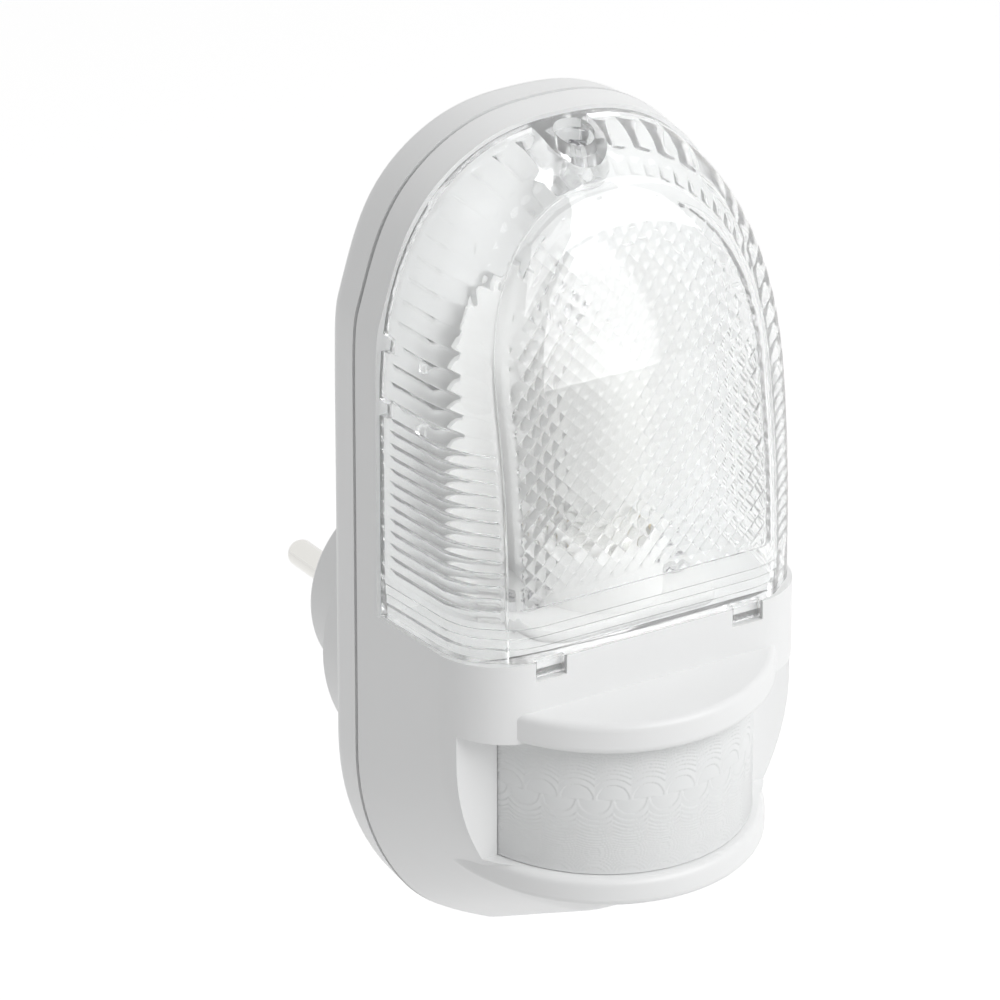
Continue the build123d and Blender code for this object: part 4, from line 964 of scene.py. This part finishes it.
def metals():
    """Finishes of the pins, screws, contacts, cap and can, worn to a duller tone on edges."""
    return {
        "nickel": finish(
            "nickel plating", (0.78, 0.77, 0.74), 0.16, metallic=1.0, grain=(6000.0, 0.000004),
            worn=(0.62, 0.55, 0.42), rub=(0.0003, 0.5),
        ),
        "screw_steel": finish(
            "zinc-plated steel", (0.74, 0.74, 0.75), 0.2, metallic=1.0, grain=(7000.0, 0.000006),
            worn=(0.5, 0.5, 0.5),
        ),
        "brass": finish(
            "spring brass", (0.78, 0.62, 0.32), 0.25, metallic=1.0, worn=(0.55, 0.42, 0.22)
        ),
        "cap_metal": finish(
            "thin plated cap", (0.72, 0.72, 0.70), 0.26, metallic=1.0, worn=(0.5, 0.5, 0.48)
        ),
        "can_metal": finish(
            "drawn steel can", (0.7, 0.7, 0.7), 0.24, metallic=1.0, worn=(0.5, 0.5, 0.5)
        ),
        "tungsten": finish(
            "drawn wire", (0.35, 0.35, 0.36), 0.4, metallic=1.0, worn=(0.2, 0.2, 0.2)
        ),
    }


def wires_and_board():
    """Finishes of the laminate, the parts on it and the leads."""
    return {
        "board_green": finish(
            "green laminate", (0.10, 0.26, 0.14), 0.35, drift=0.2, worn=(0.3, 0.3, 0.2)
        ),
        "film_yellow": finish("dipped yellow film", (0.75, 0.58, 0.16), 0.25),
        "resistor_beige": finish("beige lacquer", (0.66, 0.55, 0.38), 0.35),
        "wire_brown": finish("brown insulation", (0.22, 0.11, 0.06), 0.42),
        "wire_blue": finish("blue insulation", (0.06, 0.14, 0.38), 0.42),
    }


def glasses():
    """Finishes of the bulb, the sensor's filter and the clear cover."""
    return {
        "dark_insulator": finish("black vitreous insulator", (0.07, 0.07, 0.07), 0.15),
        "filter_dark": finish("dark infrared filter", (0.12, 0.1, 0.1), 0.12),
        "opal_glass": finish(
            "opal glass", (0.76, 0.76, 0.745), 0.3, grain=(900.0, 0.000004), drift=0.02
        ),
        "stem_glass": clear_finish("clear stem glass", (0.95, 0.97, 0.97), (800.0, 0.000004)),
        "lens_clear": clear_finish("clear cover plastic", (0.985, 0.99, 0.99), (500.0, 0.000002)),
    }


def dress():
    """Give every piece the finish of its slot, and round the shading of the solids."""
    finishes = {**plastics(), **metals(), **wires_and_board(), **glasses()}
    for part in frame["record"]["subparts"]:
        node = frame["nodes"][part["node"]]
        node.data.materials.clear()
        node.data.materials.append(finishes[part["material_slot"]])
        smooth(node, SOLID_SHARP_ANGLE)
    for piece in (cover, window):
        piece.data.materials.clear()
        piece.data.materials.append(finishes[piece["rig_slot"]])


dress()


# ---------------------------------------------------------------- floor, light and camera
FLOOR_REACH = 6000.0
FLOOR_Z = -330.0
FLOOR_COLOR = (0.85, 0.85, 0.85, 1)
FLOOR_ROUGHNESS = 0.9
FLOOR_GLOW = 0.45
WHITE = (1, 1, 1, 1)

# The surround's level at its dim and its bright end, for all rays and then for each kind apart.
ROOM_SIDE = -0.7
BACKDROP_SIDE = 0.2
ALL_RAYS_LEVELS = (0.3, 0.62)
RAY_LEVELS = (
    ("Is Glossy Ray", (0.35, 1.0)),
    ("Is Transmission Ray", (0.85, 1.0)),
    ("Is Camera Ray", (1.0, 1.0)),
)

LAMP_AIM = (0, -0.06, 0.05)

CAMERA_TURN = radians(32.0)
CAMERA_PITCH = radians(25.0)
CAMERA_DISTANCE = 1300.0
CAMERA_LENS = 283.1
CAMERA_SENSOR = 36.0
CAMERA_AIM = (0, -31.33, -13.5)
CAMERA_LEFT = 0.269
CAMERA_UP = 36.49


def pale_floor():
    """Plain floor that glows faintly to the camera and in reflections, and keeps the shadow."""
    near, far = -FLOOR_REACH, FLOOR_REACH
    points = [(x, f, FLOOR_Z) for x, f in ((near, near), (far, near), (far, far), (near, far))]
    mesh = bpy.data.meshes.new("pale floor")
    mesh.from_pydata(metres(points).tolist(), [], [(0, 1, 2, 3)])
    floor = bpy.data.objects.new("pale_floor", mesh)
    bpy.context.scene.collection.objects.link(floor)
    material, tree, shader = blank_material("pale floor")
    shader.inputs["Base Color"].default_value = FLOOR_COLOR
    shader.inputs["Roughness"].default_value = FLOOR_ROUGHNESS
    shader.inputs["Emission Color"].default_value = WHITE
    path = tree.nodes.new("ShaderNodeLightPath").outputs
    seen = math_node(tree, "MAXIMUM", path["Is Camera Ray"], path["Is Transmission Ray"])
    seen = math_node(tree, "MAXIMUM", seen, path["Is Glossy Ray"])
    glow = math_node(tree, "MULTIPLY", seen, FLOOR_GLOW)
    tree.links.new(glow, shader.inputs["Emission Strength"])
    mesh.materials.append(material)


def surround_level(tree, side, levels):
    """Level that rises from the room's side to the backdrop's side."""
    level = tree.nodes.new("ShaderNodeMapRange")
    level.inputs["From Min"].default_value = ROOM_SIDE
    level.inputs["From Max"].default_value = BACKDROP_SIDE
    level.inputs["To Min"].default_value = levels[0]
    level.inputs["To Max"].default_value = levels[1]
    tree.links.new(side, level.inputs["Value"])
    return level.outputs["Result"]


def studio_world():
    """Soft surround: white where the backdrop is, dimmer towards the room behind the camera."""
    world = bpy.data.worlds.new("studio")
    bpy.context.scene.world = world
    world.use_nodes = True
    tree = world.node_tree
    background = tree.nodes["Background"]
    place = tree.nodes.new("ShaderNodeTexCoord")
    split = tree.nodes.new("ShaderNodeSeparateXYZ")
    tree.links.new(place.outputs["Generated"], split.inputs[0])
    path = tree.nodes.new("ShaderNodeLightPath")
    strength = surround_level(tree, split.outputs["Y"], ALL_RAYS_LEVELS)
    for ray, levels in RAY_LEVELS:
        mix = tree.nodes.new("ShaderNodeMix")
        tree.links.new(path.outputs[ray], mix.inputs["Factor"])
        tree.links.new(strength, mix.inputs["A"])
        tree.links.new(surround_level(tree, split.outputs["Y"], levels), mix.inputs["B"])
        strength = mix.outputs["Result"]
    tree.links.new(strength, background.inputs["Strength"])
    background.inputs["Color"].default_value = WHITE


def soft_lamp(name, direction, distance, width, height, radiance):
    """Rectangular lamp that faces the cover, as bright as radiance where 1 is white."""
    toward = Vector(direction).normalized()
    data = bpy.data.lights.new(name, "AREA")
    data.shape = "RECTANGLE"
    data.size, data.size_y = width, height
    data.energy = radiance * pi * width * height
    lamp = bpy.data.objects.new(name, data)
    bpy.context.scene.collection.objects.link(lamp)
    lamp.location = Vector(LAMP_AIM) + toward * distance
    lamp.rotation_euler = toward.to_track_quat("Z", "Y").to_euler()


def camera():
    """Camera to the left of the light and above it, which looks at its middle."""
    level = cos(CAMERA_PITCH)
    back = Vector((-sin(CAMERA_TURN) * level, -cos(CAMERA_TURN) * level, sin(CAMERA_PITCH)))
    right = Vector((cos(CAMERA_TURN), -sin(CAMERA_TURN), 0))
    up = back.cross(right)
    data = bpy.data.cameras.new("camera")
    data.lens = CAMERA_LENS
    data.sensor_width = CAMERA_SENSOR
    seen_from = bpy.data.objects.new("camera", data)
    bpy.context.scene.collection.objects.link(seen_from)
    place = Vector(CAMERA_AIM) - right * CAMERA_LEFT + up * CAMERA_UP + back * CAMERA_DISTANCE
    turn = Matrix((right, up, back)).transposed().to_4x4()
    seen_from.matrix_world = Matrix.Translation(place * MM) @ turn
    bpy.context.scene.camera = seen_from


pale_floor()
studio_world()
soft_lamp("broad front lamp", (0.35, -0.7, 0.6), distance=1.4, width=1.2, height=1.0, radiance=3.7)
soft_lamp("strip lamp", (0.476, -0.87, 0.105), distance=1.1, width=0.05, height=0.34, radiance=3.6)
camera()
bpy.context.scene.view_settings.view_transform = "Standard"
